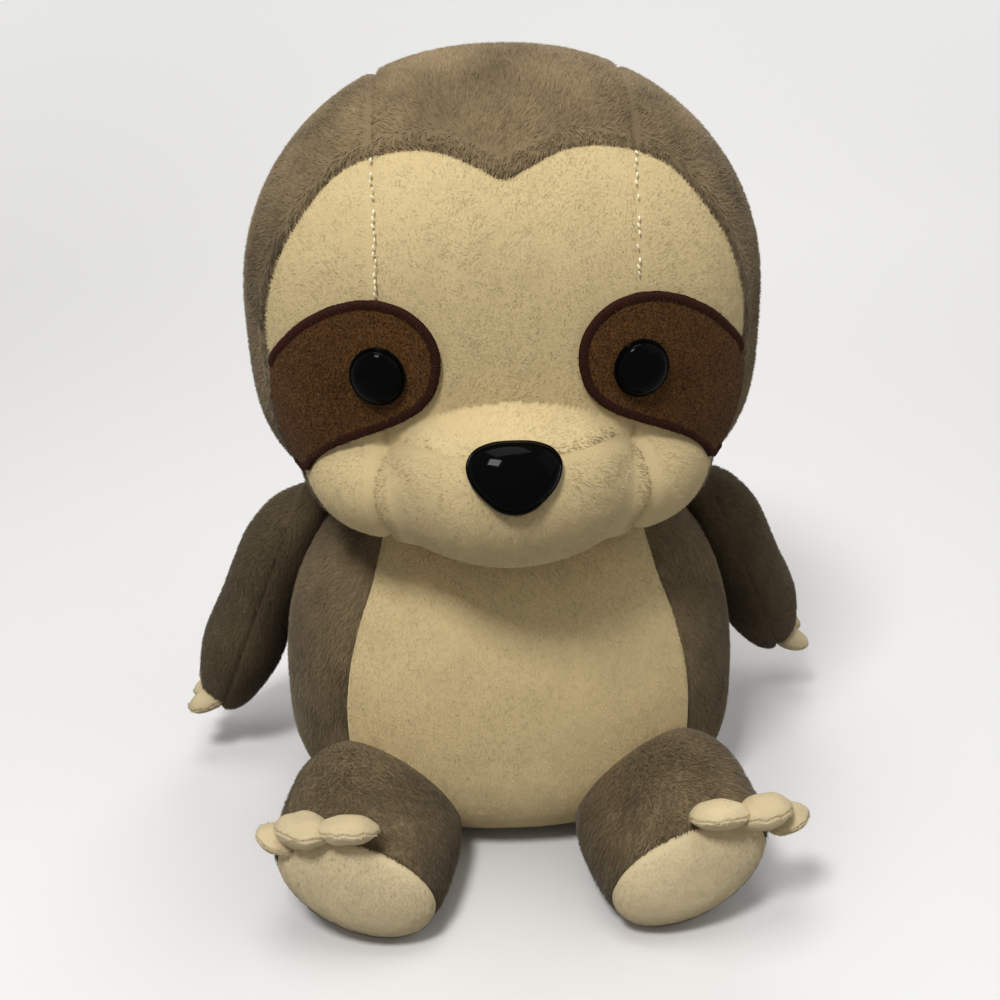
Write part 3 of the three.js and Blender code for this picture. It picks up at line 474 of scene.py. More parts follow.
PATCH_EDGE = Outline(smooth_loop(np.array(
    ((0.242, -0.08), (0.25, -0.01), (0.275, 0.048), (0.314, 0.098), (0.368, 0.138), (0.433, 0.159),
     (0.508, 0.163), (0.58, 0.148), (0.65, 0.118), (0.713, 0.075), (0.774, 0.018), (0.826, -0.045),
     (0.862, -0.11), (0.872, -0.17), (0.876, -0.27), (0.866, -0.379), (0.843, -0.49),
     (0.81, -0.565), (0.77, -0.6), (0.727, -0.53), (0.67, -0.474), (0.605, -0.428),
     (0.535, -0.388), (0.465, -0.354), (0.395, -0.32), (0.335, -0.282), (0.287, -0.231),
     (0.255, -0.165))) * HEAD_SCALE + HEAD_CENTRE[[0, 2]], 0.4))
BELLY_EDGE = Outline(closed_curve(
    ((0.4, 0.0), (0.62, 0.06), (0.69, 0.22), (0.706, 0.39), (0.685, 0.52), (0.636, 0.65),
     (0.569, 0.77), (0.505, 0.92), (0.45, 1.1)), np.array([BODY["wide"], 132.0]), np.zeros(2))
    * (1.03, 1) + (1.5, 0))
SEAT_SEAM, SIDE_SEAM = 3.0, 4.0


def plane_side(points, normals, way, level):
    """Distance past a plane, stretched where the surface turns away from its direction."""
    return (points @ way - level) / stretch(normals @ way)


def head_panels(points, normals):
    """Signed distance of each point inside each panel of the head."""
    ahead = plane_side(points, normals, AHEAD, -FACE_BACK)
    face = np.minimum(HAIRLINE.inside(points, normals), ahead)
    muzzle = MUZZLE_EDGE.inside(points, normals)
    left = plane_side(points, normals, ACROSS, GUSSET)
    right = plane_side(points, normals, -ACROSS, GUSSET)
    panels = {"muzzle_front": np.minimum(face, muzzle)}
    for name, whole in (("hood", -face), ("face", np.minimum(face, -muzzle))):
        panels[f"{name}_left"] = np.minimum(whole, left)
        panels[f"{name}_right"] = np.minimum(whole, right)
        panels[f"{name}_centre"] = np.minimum(whole, np.minimum(-left, -right))
    return panels


def body_panels(points, normals):
    """Signed distance of each point inside each panel of the body."""
    front = plane_side(points, normals, AHEAD, -SIDE_SEAM)
    seat = plane_side(points, normals, -UP, -SEAT_SEAM)
    left = plane_side(points, normals, ACROSS, 0)
    belly = BELLY_EDGE.inside(points, normals)
    panels = {"seat_panel": seat, "belly_panel": np.minimum(np.minimum(front, -seat), belly)}
    for name, side in (("left", left), ("right", -left)):
        wall = np.minimum(-seat, side)
        panels[f"body_side_{name}"] = np.minimum(np.minimum(front, -belly), wall)
        panels[f"back_{name}"] = np.minimum(-front, wall)
    return panels


# Meshes

def ring_faces(rows, count):
    """Faces over rows of points between a first point and a last one. The points turn
    counterclockwise seen from the last end, so the faces look outward."""
    side = np.arange(count)
    after = (side + 1) % count
    end = rows * count + 1
    caps = np.vstack([np.stack([0 * side, 1 + after, 1 + side], -1),
                      np.stack([0 * side + end, end - count + side, end - count + after], -1)])
    row = np.repeat(np.arange(rows - 1), count) * count + 1
    low, high = np.tile(side, rows - 1) + row, np.tile(after, rows - 1) + row
    return np.stack([low, high, high + count, low + count], -1), caps


# Cells round and along each kind of form
HEAD_GRID, BODY_GRID, ARM_GRID, LEG_GRID = (330, 210), (220, 130), (130, 110), (150, 90)
BALL_GRID, CORE_GRID, LIMB_CORE_GRID = (64, 40), (96, 64), (64, 48)


class Form:
    """A closed soft form: its surface as a function of two shares, and a grid of its points."""

    def __init__(self, point, around, along):
        self.point, self.around, self.along = point, around, along
        ring = np.arange(around) / around
        rows = np.arange(1, along) / along
        self.u = np.concatenate([[0], np.tile(ring, along - 1), [0]])
        self.v = np.concatenate([[0], np.repeat(rows, around), [1]])
        self.points, self.normals = self.surface(self.u, self.v)
        self.quads, self.caps = ring_faces(along - 1, around)

    def surface(self, u, v):
        """Points and outward directions, from the slopes along the two shares."""
        safe = np.clip(v, 0.003, 0.997)
        step = 0.001
        across = self.point(u + step, safe) - self.point(u - step, safe)
        rise = self.point(u, safe + step) - self.point(u, safe - step)
        return self.point(u, v), unit(np.cross(across, rise))

    def scatter(self, density, random):
        """Even random places on the surface, cells chosen by their area."""
        corners = self.points[self.quads]
        cross = np.cross(corners[:, 2] - corners[:, 0], corners[:, 3] - corners[:, 1])
        total = np.cumsum(np.linalg.norm(cross, axis=-1) / 2)
        count = int(total[-1] * density)
        cell = np.searchsorted(total, random.random(count) * total[-1])
        cell = np.minimum(cell, len(self.quads) - 1)
        u = (cell % self.around + random.random(count)) / self.around
        v = (1 + cell // self.around + random.random(count)) / self.along
        return u, v, *self.surface(u, v)


def seam_dip(distance, depth=1.3, width=1.15):
    """How far a panel's surface sinks towards its seam, and dives on below the next panel."""
    return np.where(distance > 0, -depth * np.exp(-np.maximum(distance, 0) / width),
                    -depth + 0.9 * np.minimum(distance, 0))


def make_mesh(name, points, faces, uv=None, tint=None, normals=None):
    """One mesh in metres, from points in millimetres and lists of three- and four-sided faces.
    Plush brings its own shading directions."""
    mesh = bpy.data.meshes.new(name)
    faces = [np.asarray(item) for item in faces if len(item)]
    loops = np.concatenate([item.ravel() for item in faces]).astype(np.int32)
    counts = np.concatenate([np.full(len(item), item.shape[1]) for item in faces])
    starts = np.concatenate([[0], np.cumsum(counts)[:-1]]).astype(np.int32)
    mesh.vertices.add(len(points))
    mesh.vertices.foreach_set("co", ((points + ORIGIN) * MM).astype(np.float32).ravel())
    mesh.loops.add(len(loops))
    mesh.loops.foreach_set("vertex_index", loops)
    mesh.polygons.add(len(starts))
    mesh.polygons.foreach_set("loop_start", starts)
    mesh.polygons.foreach_set("use_smooth", np.ones(len(starts), bool))
    if uv is not None:
        layer = mesh.uv_layers.new(name="OFBake")
        layer.data.foreach_set("uv", uv[loops].astype(np.float32).ravel())
    for key, kind, slot, values in (("tint", "FLOAT", "value", tint),
                                    ("custom_normal", "FLOAT_VECTOR", "vector", normals)):
        if values is not None:
            layer = mesh.attributes.new(key, kind, "POINT")
            layer.data.foreach_set(slot, values.astype(np.float32).ravel())
    mesh.update(calc_edges=True)
    piece = bpy.data.objects.new(name, mesh)
    bpy.context.scene.collection.objects.link(piece)
    return piece


# How far a panel runs on under the next one, how far out its cells may reach, and a distance
# from the seams that no seam reaches
UNDERLAP, DEEPEST, SEAMLESS = 1.9, 9.0, 20.0


def panel_cloth(form, distance, sink):
    """The cells of a form's grid that a panel covers, sunk to the foot of the pile. At its
    edges the panel dips into its seams and runs on a little way under the next one."""
    covered = [faces[np.any(distance[faces] > -UNDERLAP, 1) & np.all(distance[faces] > -DEEPEST, 1)]
               for faces in (form.quads, form.caps)]
    used = np.zeros(len(distance), bool)
    for faces in covered:
        used[faces.ravel()] = True
    index = np.cumsum(used) - 1
    quads, caps = (index[faces] for faces in covered)
    points = form.points + form.normals * (seam_dip(distance) - sink)[:, None]
    return points[used], quads, caps, form.u[used], form.v[used], form.normals[used]


def tufts(points, normals, lean, length, width, random):
    """Tapering three-sided fibres: a narrow triangle at each root, drawn out to a tip. They lean
    along the nap, shifted by noise that neighbours share and by a random way of their own. Short
    fibres lie flatter and are less round."""
    count = len(points)
    clump = unit(np.stack([noise(points, 2.2, seed) for seed in (11, 12, 13)], -1))
    fine = unit(random.normal(size=(count, 3)))
    steep = np.clip(length / 2, 0.4, 1) * np.ones(count)
    way = flattened(lean + 0.22 * clump + 0.45 * steep[:, None] * fine, normals)
    rise = (steep * (0.42 + 0.25 * random.random(count)))[:, None]
    way = unit(way + rise * normals)
    side = unit(np.cross(normals, way))
    over = np.cross(way, side)
    reach = (length * (0.7 + 0.5 * random.random(count)))[:, None]
    half = (width * (0.7 + 0.6 * random.random(count)))[:, None] / 2
    roundness = (2 * steep - 1).clip(0.2)[:, None]
    corners = np.stack([points - side * half, points + side * half,
                        points + over * half * roundness, points + way * reach], 1)
    first = np.arange(count)[:, None] * 4
    faces = np.vstack([first + (2, 0, 3), first + (1, 2, 3), first + (0, 1, 3)])
    shading = np.repeat(unit(normals - 0.16 * way + 0.13 * clump + 0.12 * fine), 4, 0)
    bulge = np.stack([-side, side, over, 0.4 * over], 1).reshape(-1, 3)
    return corners.reshape(-1, 3), faces, unit(shading + 0.3 * np.repeat(roundness, 4, 0) * bulge)


# Painted shade and light along each fibre: its two root corners darker, as painted shade low in the
# pile, and its tip a little lighter, as painted light.
FIBRE_PAINTED_SHADING = np.array([-0.14, -0.14, -0.1, 0.08])
FIBRE_CHART = np.array([[-1, 0], [1, 0], [0, 1], [0, -1]])


def fibre_chart(places, size):
    """The four corners of each fibre on the baking map, round the place of its root."""
    return np.repeat(places, 4, 0) + np.tile(FIBRE_CHART * size, (len(places), 1))


def filled(chart, least=0.0):
    """A chart stretched to fill the baking map but for a narrow margin."""
    low, high = chart.min(0), chart.max(0)
    return 0.01 + 0.98 * (chart - low) / np.maximum(high - low, least)


def plush_skin(form, distance, scattered, lean, pile, tone, random, mottle):
    """One panel of plush: its cloth, and its fibres rooted in it. The nap's brushed patches and
    its grain vary the tint, by an even random share and by noise of three sizes. As painted
    shade, the cloth is a little darker than the fibres, and the fibres are darker towards the
    root and beside a seam, where they are also shorter. The tone, partly painted shade, scales it."""
    length, width, sink = pile
    cloth, quads, caps, u, v, facing = panel_cloth(form, distance, sink)
    around, along, roots, normals, inside = scattered
    placed = roots + normals * (seam_dip(inside) - sink - 0.15)[:, None]
    edge = np.clip(inside / 2.0, 0, 1)
    length = length * (0.7 + 0.3 * edge)
    strand, faces, shading = tufts(placed, normals, lean, length, width, random)

    def brushed(places):
        """1, raised and lowered by broad and by narrow patches."""
        return 1 + mottle * (1.2 * noise(places, 19.0, 6) + 0.9 * noise(places, 7.5, 8))

    # Painted shade under the pile: the cloth is a little darker than the fibres, more so where the
    # coat is mottled.
    shade = (0.99 - 0.5 * mottle) * brushed(cloth) + 0.02 * noise(cloth, 2.0, 5)
    patchy = brushed(roots) + 0.02 * noise(roots, 1.6, 11)
    patchy = patchy + (0.015 + 0.6 * mottle) * random.normal(size=len(roots))
    # Painted shade in the seams: fibres close to a seam are up to 14% darker.
    patchy = patchy * (0.86 + 0.14 * edge)
    fibre = patchy[:, None] * (1 + (0.4 + 4 * mottle) * FIBRE_PAINTED_SHADING)
    tint = np.concatenate([shade, fibre.ravel()]) * tone
    rooted = fibre_chart(np.stack([around, along], -1), 4e-4)
    uv = np.vstack([np.stack([u, v], -1), rooted])
    centre = np.median(u) if len(u) else 0.5
    uv[:, 0] = (uv[:, 0] - centre + 0.5) % 1.0
    return (np.vstack([cloth, strand]), [quads, np.vstack([caps, faces + len(cloth)])],
            filled(uv, 1e-6), tint, np.vstack([facing, shading]))


def joined(skins):
    """Several skins as one, side by side on the baking map."""
    places, faces, charts, tints, facings = zip(*skins)
    first = np.cumsum([0] + [len(place) for place in places])
    faces = [np.vstack([item + start for item, start in zip(kind, first)])
             for kind in zip(*faces)]
    charts = [(chart + (index, 0)) / (len(skins), 1) for index, chart in enumerate(charts)]
    return np.vstack(places), faces, np.vstack(charts), np.concatenate(tints), np.vstack(facings)


# Shaders

def operators(operation):
    """An operation on a value and another number, and the same with the two exchanged."""
    return (lambda value, other: value.math(operation, value, other),
            lambda value, other: value.math(operation, other, value))


class Value:
    """A number from a socket. Sums, differences and products of it add Math nodes."""

    __add__, __radd__ = operators("ADD")
    __sub__, __rsub__ = operators("SUBTRACT")
    __mul__, __rmul__ = operators("MULTIPLY")

    def __init__(self, shader, socket):
        self.shader, self.socket = shader, socket

    def math(self, operation, first, second):
        """A Math node's operation on two numbers."""
        return Value(self.shader, self.shader.node(
            "ShaderNodeMath", {"operation": operation}, {0: first, 1: second}).outputs[0])


class Shader:
    """A material with one Principled shader, and short calls for the nodes that feed it."""

    def __init__(self, name, **sockets):
        self.material = bpy.data.materials.new(name)
        self.material.use_nodes = True
        self.tree = self.material.node_tree
        self.surface = self.tree.nodes["Principled BSDF"]
        for key, value in sockets.items():
            self.surface.inputs[key.replace("_", " ")].default_value = value

    def node(self, kind, settings=None, inputs=None):
        """A node of a kind, with its settings and then its values or links."""
        node = self.tree.nodes.new(kind)
        for key, value in (settings or {}).items():
            setattr(node, key, value)
        for key, value in (inputs or {}).items():
            self.put(node.inputs[key], value)
        return node

    def put(self, socket, value):
        """Links a socket to a value, or sets it."""
        if isinstance(value, Value):
            value = value.socket
        if isinstance(value, bpy.types.NodeSocket):
            self.tree.links.new(value, socket)
        else:
            socket.default_value = value

    def place(self):
        """The place on the object, in metres."""
        return self.node("ShaderNodeTexCoord").outputs["Object"]

    def attribute(self, name):
        """The number that the mesh keeps under a name."""
        node = self.node("ShaderNodeAttribute", {"attribute_name": name})
        return Value(self, node.outputs["Fac"])

    def noise(self, scale, detail=2.0):
        """Noise of the place, about one half, with so many patches in a metre."""
        node = self.node("ShaderNodeTexNoise", {}, {
            "Vector": self.place(), "Scale": scale, "Detail": detail})
        return Value(self, node.outputs["Fac"])

    def paint(self, colour, value, socket="Base Color"):
        """The colour of the surface, or of its light: a colour multiplied by a number."""
        scaled = self.node("ShaderNodeVectorMath", {"operation": "SCALE"}, {0: colour, 3: value})
        self.put(self.surface.inputs[socket], scaled.outputs[0])

    def bump(self, height, strength, distance):
        """The surface's relief, raised by a number."""
        node = self.node("ShaderNodeBump", {}, {
            "Height": height, "Strength": strength, "Distance": distance})
        self.put(self.surface.inputs["Normal"], node.outputs["Normal"])


MATERIALS = {}


def opaque(colour):
    """The colour with full alpha."""
    return (*colour, 1.0)


def plush_material(name, colour):
    """Brushed plush: its colour shaded by each fibre's tint, mottled, with a soft sheen."""
    if name in MATERIALS:
        return MATERIALS[name]
    shader = Shader(name, Roughness=0.95, Sheen_Weight=0.12, Sheen_Roughness=0.5,
                    Specular_IOR_Level=0.1)
    shader.paint(colour, shader.attribute("tint") * (0.94 + 0.12 * shader.noise(90.0, 3.0)))
    shader.bump(shader.noise(1400.0, 2.0), 0.35, 0.0004)
    MATERIALS[name] = shader.material
    return shader.material


def finish_piece(piece, material, body, slot, *nodes, fill=None):
    """Gives a piece its material, its body and the nodes that it stands for; its slot is not used.
    """
    piece.data.materials.clear()
    piece.data.materials.append(material)
    if body is not None:
        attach(piece, body)
    if nodes:
        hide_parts(*nodes)
    return piece


NAP_MARK, NAP_RADIUS = np.array([-13.0, -64.0, 224.0]), 12.0
NOSE_TIP = np.array([0, -86, 160.0])


def wandering(lean, points, normals, size, share, seed):
    """A lean laid in the surface and turned to either side by noise."""
    lean = flattened(lean, normals)
    return unit(lean + share * noise(points, size, seed)[:, None] * np.cross(normals, lean))


def head_lean(points, normals, panel):
    """Nap of the head: over the top and back on the hood but down over the edge of the face, up
    the forehead, and outward from the nose on the muzzle and the cheeks. A mark on the forehead
    swirls inward and down."""
    if panel.startswith("hood"):
        side = np.clip(points[:, :1] / 45, -1, 1) * ACROSS
        near = np.clip(1 + HAIRLINE.inside(points, normals) / 9, 0, 1)[:, None]
        near = near * (points[:, 1:2] < FACE_BACK + 6)
        back = unit(np.array([0, 0.9, -0.25]) + 0.35 * side)
        lean = back * (1 - near) + unit(np.array([0.0, -75, 190]) - points) * near
    elif panel == "muzzle_front":
        lean = points - NOSE_TIP
    elif panel == "face_centre":
        low = np.clip((178 - points[:, 2:3]) / 12, 0, 1)
        lean = np.array([0, 0.1, 1.0]) * (1 - low) + unit(points - NOSE_TIP) * low
        offset = points - NAP_MARK
        reach = np.linalg.norm(offset, axis=-1, keepdims=True) / NAP_RADIUS
        swirl = np.cross(normals, offset) / NAP_RADIUS - 0.9 * offset / NAP_RADIUS - 0.8 * UP
        inner = np.clip((1.0 - reach) * 4, 0, 1)
        lean = lean * (1 - inner) + swirl * inner
    else:
        lean = points - (NOSE_TIP + 4 * UP)
    return wandering(lean, points, normals, 26.0, 0.8, 21)


def body_lean(points, normals, panel):
    """Nap of the body: down on every panel, wandering to either side."""
    return wandering(-UP, points, normals, 24.0, 0.7, 22)


def colours_of(panel, pile):
    """The slot and the material of a panel."""
    if panel.startswith(("face", "muzzle", "belly")):
        return "cream_plush", plush_material("cream_plush_cloth", pile.cream)
    if panel.startswith("sole"):
        return "claw_plush", plush_material("sole_plush_cloth", pile.sole)
    return "taupe_plush", plush_material("taupe_plush_cloth", pile.taupe)


def pile_of(sizes, panel):
    """Length and width of the fibres, how deep the cloth lies, the tone and the mottling. The tone
    is partly painted shade and light.
    """
    length, width = sizes.length / MM, sizes.width / MM
    # Painted shade and light in the tones: the arms are painted much darker than the hood of the
    # same cloth, and the legs and the body's sides and back somewhat darker, for the shade they lie
    # in. The face and the muzzle are toned down where the lamps fall full on them, and the soles
    # are painted lighter where they face the light.
    if panel.startswith(("face", "muzzle", "belly", "sole")):
        length, width = sizes.short_length / MM, 0.85 * width
        tone, mottle = {"f": 0.89, "m": 0.82, "b": 1.0, "s": 1.06}[panel[0]], 0.035
    elif panel.startswith("leg"):
        length, tone, mottle = 1.25 * length, 0.82, 0.2
    elif panel.startswith("arm"):
        tone, mottle = 0.45, 0.15
    elif panel.startswith(("body", "back")):
        tone, mottle = 0.8, 0.2
    else:
        tone, mottle = 0.88, 0.24
    return (length, width, 0.4 * length), tone, mottle


SEAM_ROOM = 0.1


def plush_panel(panel, form, distance, sample, inside, free, lean_of, sizes, random, body, fill,
                share_of=None):
    """The piece of one panel. Its fibres stand on the free places of the sample that lie inside
    it. Their length may be multiplied by a share that depends on the place."""
    chosen = free & (inside > SEAM_ROOM)
    scattered = tuple(item[chosen] for item in (*sample, inside))
    points, normals = scattered[2:4]
    (length, *rest), tone, mottle = pile_of(sizes, panel)
    if share_of:
        length = length * share_of(points)
    skin = plush_skin(form, distance, scattered, lean_of(points, normals, panel),
                      (length, *rest), tone, random, mottle)
    slot, material = colours_of(panel, sizes)
    return finish_piece(make_mesh(panel + "_plush", *skin), material, body, slot, panel, fill=fill)


class SLOTH_OT_head(bpy.types.Operator):
    """Makes the panels of the head"""

    bl_idname = "sloth.head"
    bl_label = "Head panels"

    def execute(self, context):
        sizes = context.scene.sloth_pile
        random = np.random.default_rng(sizes.seed)
        form = Form(head_point, *HEAD_GRID)
        cells = head_panels(form.points, form.normals)
        form.points = hollowed(form.points + muzzle_crease(form.points, form.normals))
        u, v, points, normals = form.scatter(sizes.density, random)
        roots = head_panels(points, normals)
        folded = points * (np.sign(points[:, :1]) * (1, 0, 0) + (0, 1, 1))
        bare = (PATCH_EDGE.inside(folded, normals) > -0.4) & (points[:, 1] < FACE_BACK)
        free = ~below_head(points) & ~bare
        sample = (u, v, points + muzzle_crease(points, normals), normals)
        for panel, distance in cells.items():
            plush_panel(panel, form, distance, sample, roots[panel], free, head_lean, sizes,
                        random, "head", 0.8)
        return {"FINISHED"}


def muzzle_crease(points, normals):
    """A valley along the seam of the muzzle panel, deepest at its sides, with the panel a little
    fuller inside it: two bell curves over the distance from the seam."""
    distance = MUZZLE_EDGE.inside(points, normals)
    side = np.clip(np.abs(points[:, 0]) / 34, 0.35, 1) * (points[:, 1] < FACE_BACK)
    depth = -0.7 * np.exp(-(distance / 2.2) ** 2) + 1.1 * np.exp(-((distance - 6) / 4.5) ** 2)
    return (depth * side)[:, None] * normals


NOD, TURN = 6, 22


def below_head(points):
    """True where the body may come as the head turns and nods, where the head is hollowed."""
    hollow = np.zeros(points.shape[:-1], bool)
    for angle in np.radians((-NOD, 0, NOD)):
        offset = points - NECK
        y = offset[..., 1] * np.cos(angle) - offset[..., 2] * np.sin(angle)
        z = offset[..., 1] * np.sin(angle) + offset[..., 2] * np.cos(angle)
        turned = np.stack([offset[..., 0], y, z], -1) + NECK
        hollow |= inside_body(turned, 0.5, np.radians(TURN)) > 0
    return hollow


def hollowed(points, clearance=0.0, halvings=12):
    """Points that lie where the body may come, drawn back towards the head's middle, found by
    halving, so that the head's underside is closed and follows the body."""
    lower = below_head(points)
    near, far = np.zeros((lower.sum(), 1)), np.ones((lower.sum(), 1))
    offset = points[lower] - HEAD_CENTRE
    for _ in range(halvings):
        middle = (near + far) / 2
        inside = below_head(HEAD_CENTRE + offset * middle)[:, None]
        near, far = np.where(inside, near, middle), np.where(inside, middle, far)
    moved = points.copy()
    moved[lower] = HEAD_CENTRE + offset * near - clearance * unit(offset)
    return moved


class SLOTH_OT_body(bpy.types.Operator):
    """Makes the panels of the body"""

    bl_idname = "sloth.body"
    bl_label = "Body panels"

    def execute(self, context):
        sizes = context.scene.sloth_pile
        random = np.random.default_rng(sizes.seed + 1)
        form = Form(body_point, *BODY_GRID)
        floor, pile_floor, neck_radius, neck_low = 1.2, 1.0, 30, 100
        form.points[:, 2] = np.maximum(form.points[:, 2], floor)
        cells = body_panels(form.points, form.normals)
        sample = form.scatter(sizes.density, random)
        points, normals = sample[2:]
        roots = body_panels(points, normals)
        apart, height = np.hypot(points[:, 0], points[:, 1]), points[:, 2]
        free = (height > pile_floor) & ~((apart < neck_radius) & (height > neck_low))
        for panel, distance in cells.items():
            plush_panel(panel, form, distance, sample, roots[panel], free, body_lean, sizes,
                        random, "torso", 0.7)
        return {"FINISHED"}


class SLOTH_OT_limbs(bpy.types.Operator):
    """Makes the arms and the legs"""

    bl_idname = "sloth.limbs"
    bl_label = "Arms and legs"

    def execute(self, context):
        sizes = context.scene.sloth_pile
        for number, (name, _) in enumerate(SIDES):
            random = np.random.default_rng(sizes.seed + 10 + number)
            limb = ARMS[name]
            edge = limb.third @ limb.root + limb.thick
            panels = {f"arm_outer_{name}": (limb.third, edge),
                      f"arm_inner_{name}": (-limb.third, -edge)}
            self.make(sizes, limb, panels, limb.along, "arm_" + name, random, ARM_GRID)
            limb = LEGS[name]
            lean = np.radians(14)
            normal = limb.along * np.cos(lean) - UP * np.sin(lean)
            edge = normal @ (limb.root + limb.along * limb.length * 0.76)
            panels = {f"sole_{name}": (normal, edge), f"leg_upper_{name}": (-normal, -edge)}
            self.make(sizes, limb, panels, limb.along - 0.5 * UP, "leg_" + name, random, LEG_GRID)
        return {"FINISHED"}

    def make(self, sizes, limb, panels, nap, body, random, grid):
        """Both panels of a limb, with the nap along it and shorter towards its root, which is
        bedded in the body."""
        form = Form(limb.point, *grid)
        floor = 0.9
        sample = form.scatter(sizes.density, random)
        points, normals = sample[2:]
        free = (inside_body(points) < 0.5) & (points[:, 2] > floor)
        cells = [plane_side(form.points, form.normals, *cut) for cut in panels.values()]
        form.points[:, 2] = np.maximum(form.points[:, 2], floor)
        form.points = bedded(form.points, 3.0)

        def lean_of(points, normals, panel):
            return wandering(nap, points, normals, 16.0, 0.6, 23)

        def share_of(points):
            along = (points - limb.root) @ limb.along / limb.length
            return np.clip(0.9 + 1.6 * along, 0.3, 1)

        for (panel, cut), distance in zip(panels.items(), cells):
            inside = plane_side(points, normals, *cut)
            piece = plush_panel(panel, form, distance, sample, inside, free, lean_of, sizes,
                                random, None, 0.7, share_of)
            bend(piece, limb, body)


def bedded(points, depth):
    """Points deeper in the body than this, moved out to that depth along the body's radius."""
    deeper = np.maximum(inside_body(points) - depth, 0)
    level = np.hypot(points[:, 0], points[:, 1])
    scale = 1 + deeper / np.maximum(level, 1)
    return points * np.stack([scale, scale, np.ones(len(scale))], -1)


def bend(piece, limb, body):
    """Bakes the piece's placing into its points; the limb and the body are not used."""
    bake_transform(piece)


class SLOTH_OT_claws(bpy.types.Operator):
    """Makes the puffy claws of the hands and the feet"""

    bl_idname = "sloth.claws"
    bl_label = "Claws"

    def execute(self, context):
        sizes = context.scene.sloth_pile
        random = np.random.default_rng(sizes.seed + 30)
        slot, material = colours_of("sole", sizes)
        for name, _ in SIDES:
            for part, body, lobes in (("foot_claws_", "leg_", foot_lobes(LEGS[name])),
                                      ("hand_claws_", "arm_", hand_lobes(ARMS[name]))):
                skins = [self.lobe(lobe, random) for lobe in lobes]
                piece = make_mesh(f"{part}{name}_plush", *joined(skins))
                finish_piece(piece, material, body + name, slot, part + name, fill=0.8)
        return {"FINISHED"}

    def lobe(self, lobe, random):
        """One lobe's cloth with its very short pile, with the nap away from its middle."""
        form = Form(lobe, *BALL_GRID)
        sample = form.scatter(3.0, random)
        points, normals = sample[2:]
        lean = unit(points - form.points.mean(0)) + 0.8 * noise(points, 6.0, 31)[:, None] * UP
        cells, roots = (np.full(len(item), SEAMLESS) for item in (form.points, points))
        pile, tone, mottle = (0.95, 0.26, 0.3), 0.93, 0.09
        return plush_skin(form, cells, (*sample, roots), flattened(lean, normals), pile, tone,
                          random, mottle)


def puffed_lobe(middle, long_way, up_way, length, wide, thick, seed):
    """A pillow-like lobe: an oval whose two faces bulge up from a seam all round it, drawn in
    along the seam and puckered by noise beside it."""
    wide_way = unit(np.cross(up_way, long_way))
    thick_way = np.cross(long_way, wide_way)

    def point(around, along):
        turn, rise = around * 2 * np.pi, (along - 0.5) * np.pi
        across = np.cos(rise) * np.cos(turn)
        height = np.cos(rise) * np.sin(turn)
        ahead = np.sin(rise)
        draw = 1 - 0.05 * np.exp(-(height / 0.1) ** 2)
        bulge = np.sign(height) * np.abs(height) ** 1.25 * 1.06
        place = (middle + (across * draw * wide)[..., None] * wide_way
                 + (bulge * thick)[..., None] * thick_way
                 + (ahead * draw * length)[..., None] * long_way)
        edge = np.exp(-(height / 0.35) ** 2)
        pucker = 0.5 * noise(place, 4.5, seed) + 0.5 * edge * noise(place, 2.2, seed + 1)
        return place + pucker[..., None] * thick_way

    return point


def foot_lobes(limb):
    """Three lobes along the outer front edge of the foot, turned further out one by one and
    smaller towards the side. Both feet have theirs a little off the middle, one way."""
    lobes = []
    lift = np.radians(22)
    for across, up, along, degrees, sizes in ((0.1, 1.12, 0.89, -6, (8.0, 10.2, 4.7)),
                                              (0.57, 1.03, 0.88, 18, (9.0, 9.8, 5.5)),
                                              (0.88, 0.7, 0.8, 58, (7.6, 8.2, 4.0))):
        turn = np.radians(degrees)
        middle = (limb.root + limb.along * LEG_LENGTH * along + limb.out * LEG_WIDE * across
                  + UP * LEG_HIGH * up + ACROSS * LOBE_SHIFT)
        ahead = limb.along * np.cos(turn) + limb.out * np.sin(turn)
        lobes.append(puffed_lobe(middle, ahead * np.cos(lift) + UP * np.sin(lift), UP, *sizes,
                                 degrees))
    return lobes


def hand_lobes(limb):
    """Three lobes side by side at the end of the arm, leaning outward and spread like a fan."""
    lean, pitch, size = np.radians(50), 9.5, (8.4, 6.0, 4.2)
    ahead = limb.along * np.cos(lean) + limb.out * np.sin(lean)
    above = limb.out * np.cos(lean) - limb.along * np.sin(lean)
    fore = np.cross(limb.along, limb.out)
    end = limb.root + limb.along * limb.length * 0.94 + limb.out * limb.thick * 1.4
    lobes = []
    for place in (-1, 0, 1):
        spread = np.radians(16 * place)
        lobes.append(puffed_lobe(end + fore * place * pitch,
                                 ahead * np.cos(spread) + fore * np.sin(spread), above,
                                 *size, 80 + place))
    return lobes


